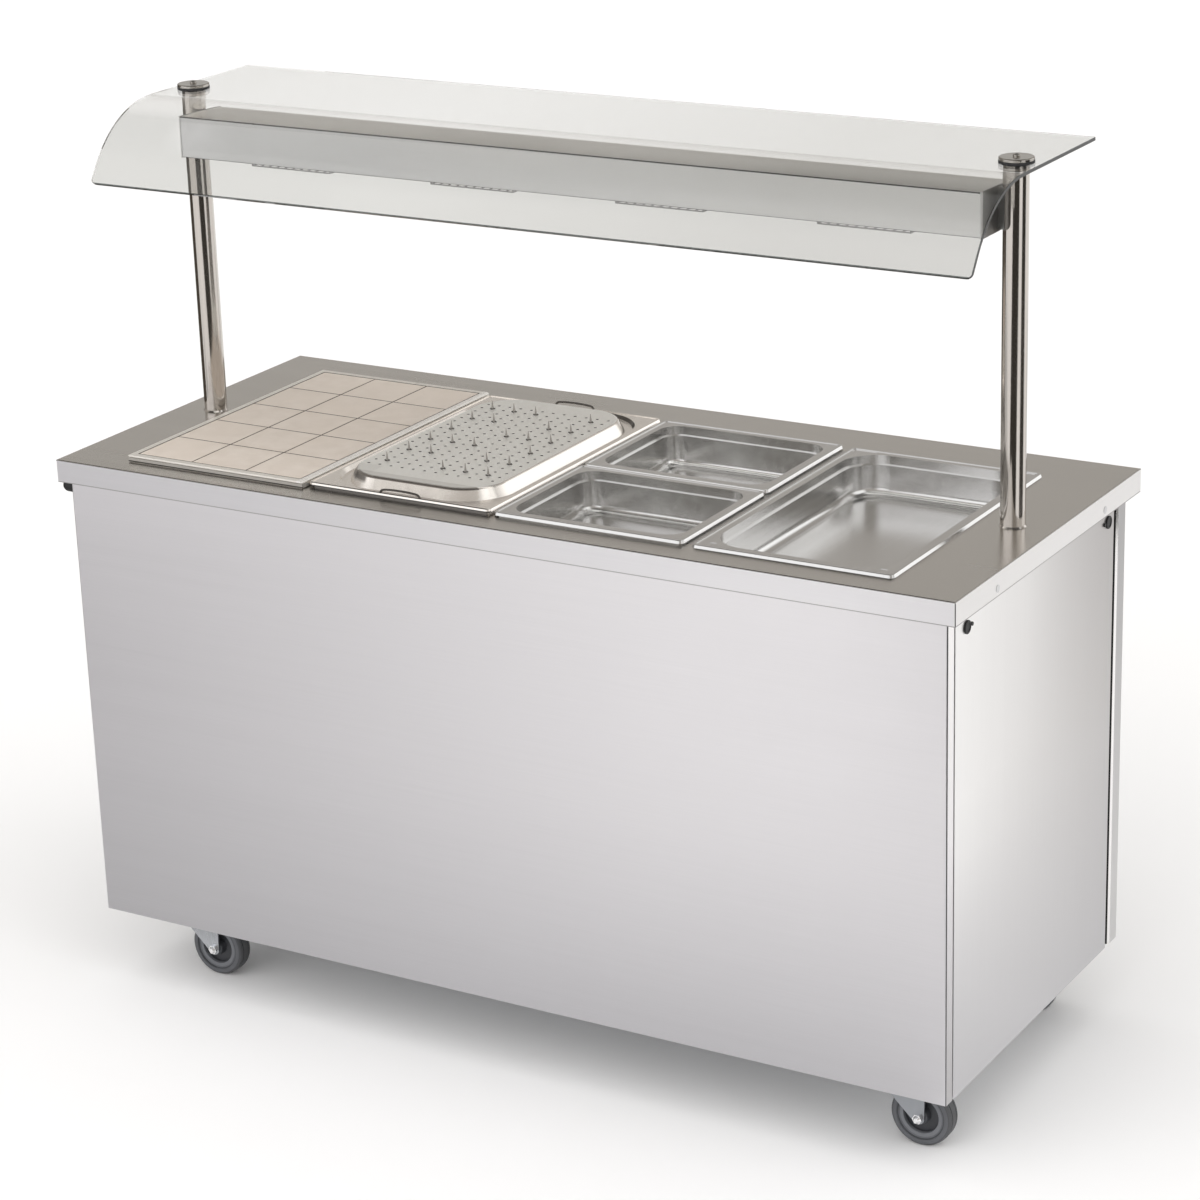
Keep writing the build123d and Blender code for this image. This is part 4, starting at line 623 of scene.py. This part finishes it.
# dark drapes along the horizon, behind the sheets on the floor
for az0, az1 in ((3.0, 56.0), (81.0, 114.0), (-149.0, -64.0)):
    half = (az1 - az0) / 2
    dome = soft_panel(nt, dome, (az0 + az1) / 2, half - 1.5, half + 1.5, 0.0, 5.0, 8.0, (0.05, 0.046, 0.042))
# a plain white backdrop where the dome is looked at directly or through the glass
path = nt.nodes.new("ShaderNodeLightPath")
bounced = math_node(nt, "ADD", path.outputs["Diffuse Depth"], path.outputs["Glossy Depth"])
through = math_node(nt, "MULTIPLY", path.outputs["Is Transmission Ray"], math_node(nt, "LESS_THAN", bounced, 0.5))
dome = mix_colour(nt, math_node(nt, "MAXIMUM", path.outputs["Is Camera Ray"], through), dome, (1.0, 1.0, 1.0))
nt.links.new(dome, bg.inputs["Color"])
bg.inputs["Strength"].default_value = 1.0

# broad lights for the floor and the matt surfaces
def soft_sun(name, energy, angle, way):
    data = bpy.data.lights.new(name, "SUN")
    data.energy = energy
    data.angle = math.radians(angle)
    data.color = (1.0, 0.995, 0.985)
    ob = bpy.data.objects.new(name, data)
    scene.collection.objects.link(ob)
    ob.rotation_mode = "QUATERNION"
    ob.rotation_quaternion = Vector(way).to_track_quat("-Z", "Y")
    ob.visible_glossy = False


soft_sun("overhead_soft", 1.8, 100.0, (0.05, 0.30, -1.0))
soft_sun("front_soft", 1.0, 120.0, (-0.45, 0.85, -0.60))


# grey sheets laid out on the studio floor, which only the metal sees
def sheet(name, outline, tone, z=0.002, fade=()):
    """fade = ((kx, ky), from, to, factor): painted shade, the tone changes slowly along a direction of the floor."""
    mat, nt, bsdf = material(name)
    cloth = noise(nt, (60.0, 60.0, 60.0), 3.0, 0.6)
    colour = mix_colour(nt, cloth, shade(tone, 0.96), shade(tone, 1.04))
    for (kx, ky), p0, p1, factor in fade:
        u = math_node(nt, "ADD", math_node(nt, "MULTIPLY", place(nt, "X"), kx), math_node(nt, "MULTIPLY", place(nt, "Y"), ky))
        n = nt.nodes.new("ShaderNodeMix")
        n.data_type = "RGBA"
        n.blend_type = "MULTIPLY"
        nt.links.new(remap(nt, u, 0.0, 1.0, p0, p1), n.inputs["Factor"])
        nt.links.new(colour, n.inputs[6])
        n.inputs[7].default_value = (factor, factor, factor, 1.0)
        colour = n.outputs[2]
    nt.links.new(colour, bsdf.inputs["Base Color"])
    bsdf.inputs["Roughness"].default_value = 0.9
    bsdf.inputs["Specular IOR Level"].default_value = 0.0
    bm = bmesh.new()
    bm.faces.new([bm.verts.new((x, y, z)) for x, y in outline])
    bmesh.ops.triangulate(bm, faces=bm.faces)
    bmesh.ops.recalc_face_normals(bm, faces=bm.faces)
    me = bpy.data.meshes.new(name)
    bm.to_mesh(me)
    bm.free()
    me.materials.append(mat)
    ob = bpy.data.objects.new(name, me)
    scene.collection.objects.link(ob)
    ob.visible_camera = ob.visible_diffuse = ob.visible_transmission = ob.visible_shadow = ob.visible_volume_scatter = False
    return ob


def sector(az0, az1, r0, r1, cx=0.0, cy=0.0, n=10):
    az = [math.radians(az0 + (az1 - az0) * i / n) for i in range(n + 1)]
    ring = [(math.sin(t) * r0, -math.cos(t) * r0) for t in az] + [(math.sin(t) * r1, -math.cos(t) * r1) for t in reversed(az)]
    return [(cx + x, cy + y) for x, y in ring]


DARK = (0.045, 0.042, 0.038)
PALE = (0.92, 0.92, 0.925)
sheet("sheet_front", sector(3.0, 56.0, 2.0, 38.0), DARK)
sheet("sheet_corner", sector(8.0, 54.0, 0.35, 2.2, 0.776, -0.3285), DARK, 0.003)
sheet("sheet_right", sector(81.0, 114.0, 3.2, 38.0), DARK)
sheet("sheet_left", sector(-149.0, -64.0, 2.0, 38.0), (0.075, 0.065, 0.055))
# pale sheets with painted shade: their tone falls off towards the cabinet and towards the left and the rear
sheet("sheet_panel", [(-3.4, -3.0), (0.70, -3.0), (0.70, -0.38), (-3.4, -0.38)], PALE, 0.001,
      (((1.0, 0.0), -0.2, -2.2, 0.52), ((0.0, 1.0), -1.9, -0.5, 0.58)))
sheet("sheet_end", [(0.85, 0.3), (2.9, 0.3), (2.9, 4.6), (0.85, 4.6)], PALE, 0.001, (((-0.92, 0.40), -0.85, -0.55, 0.70),))
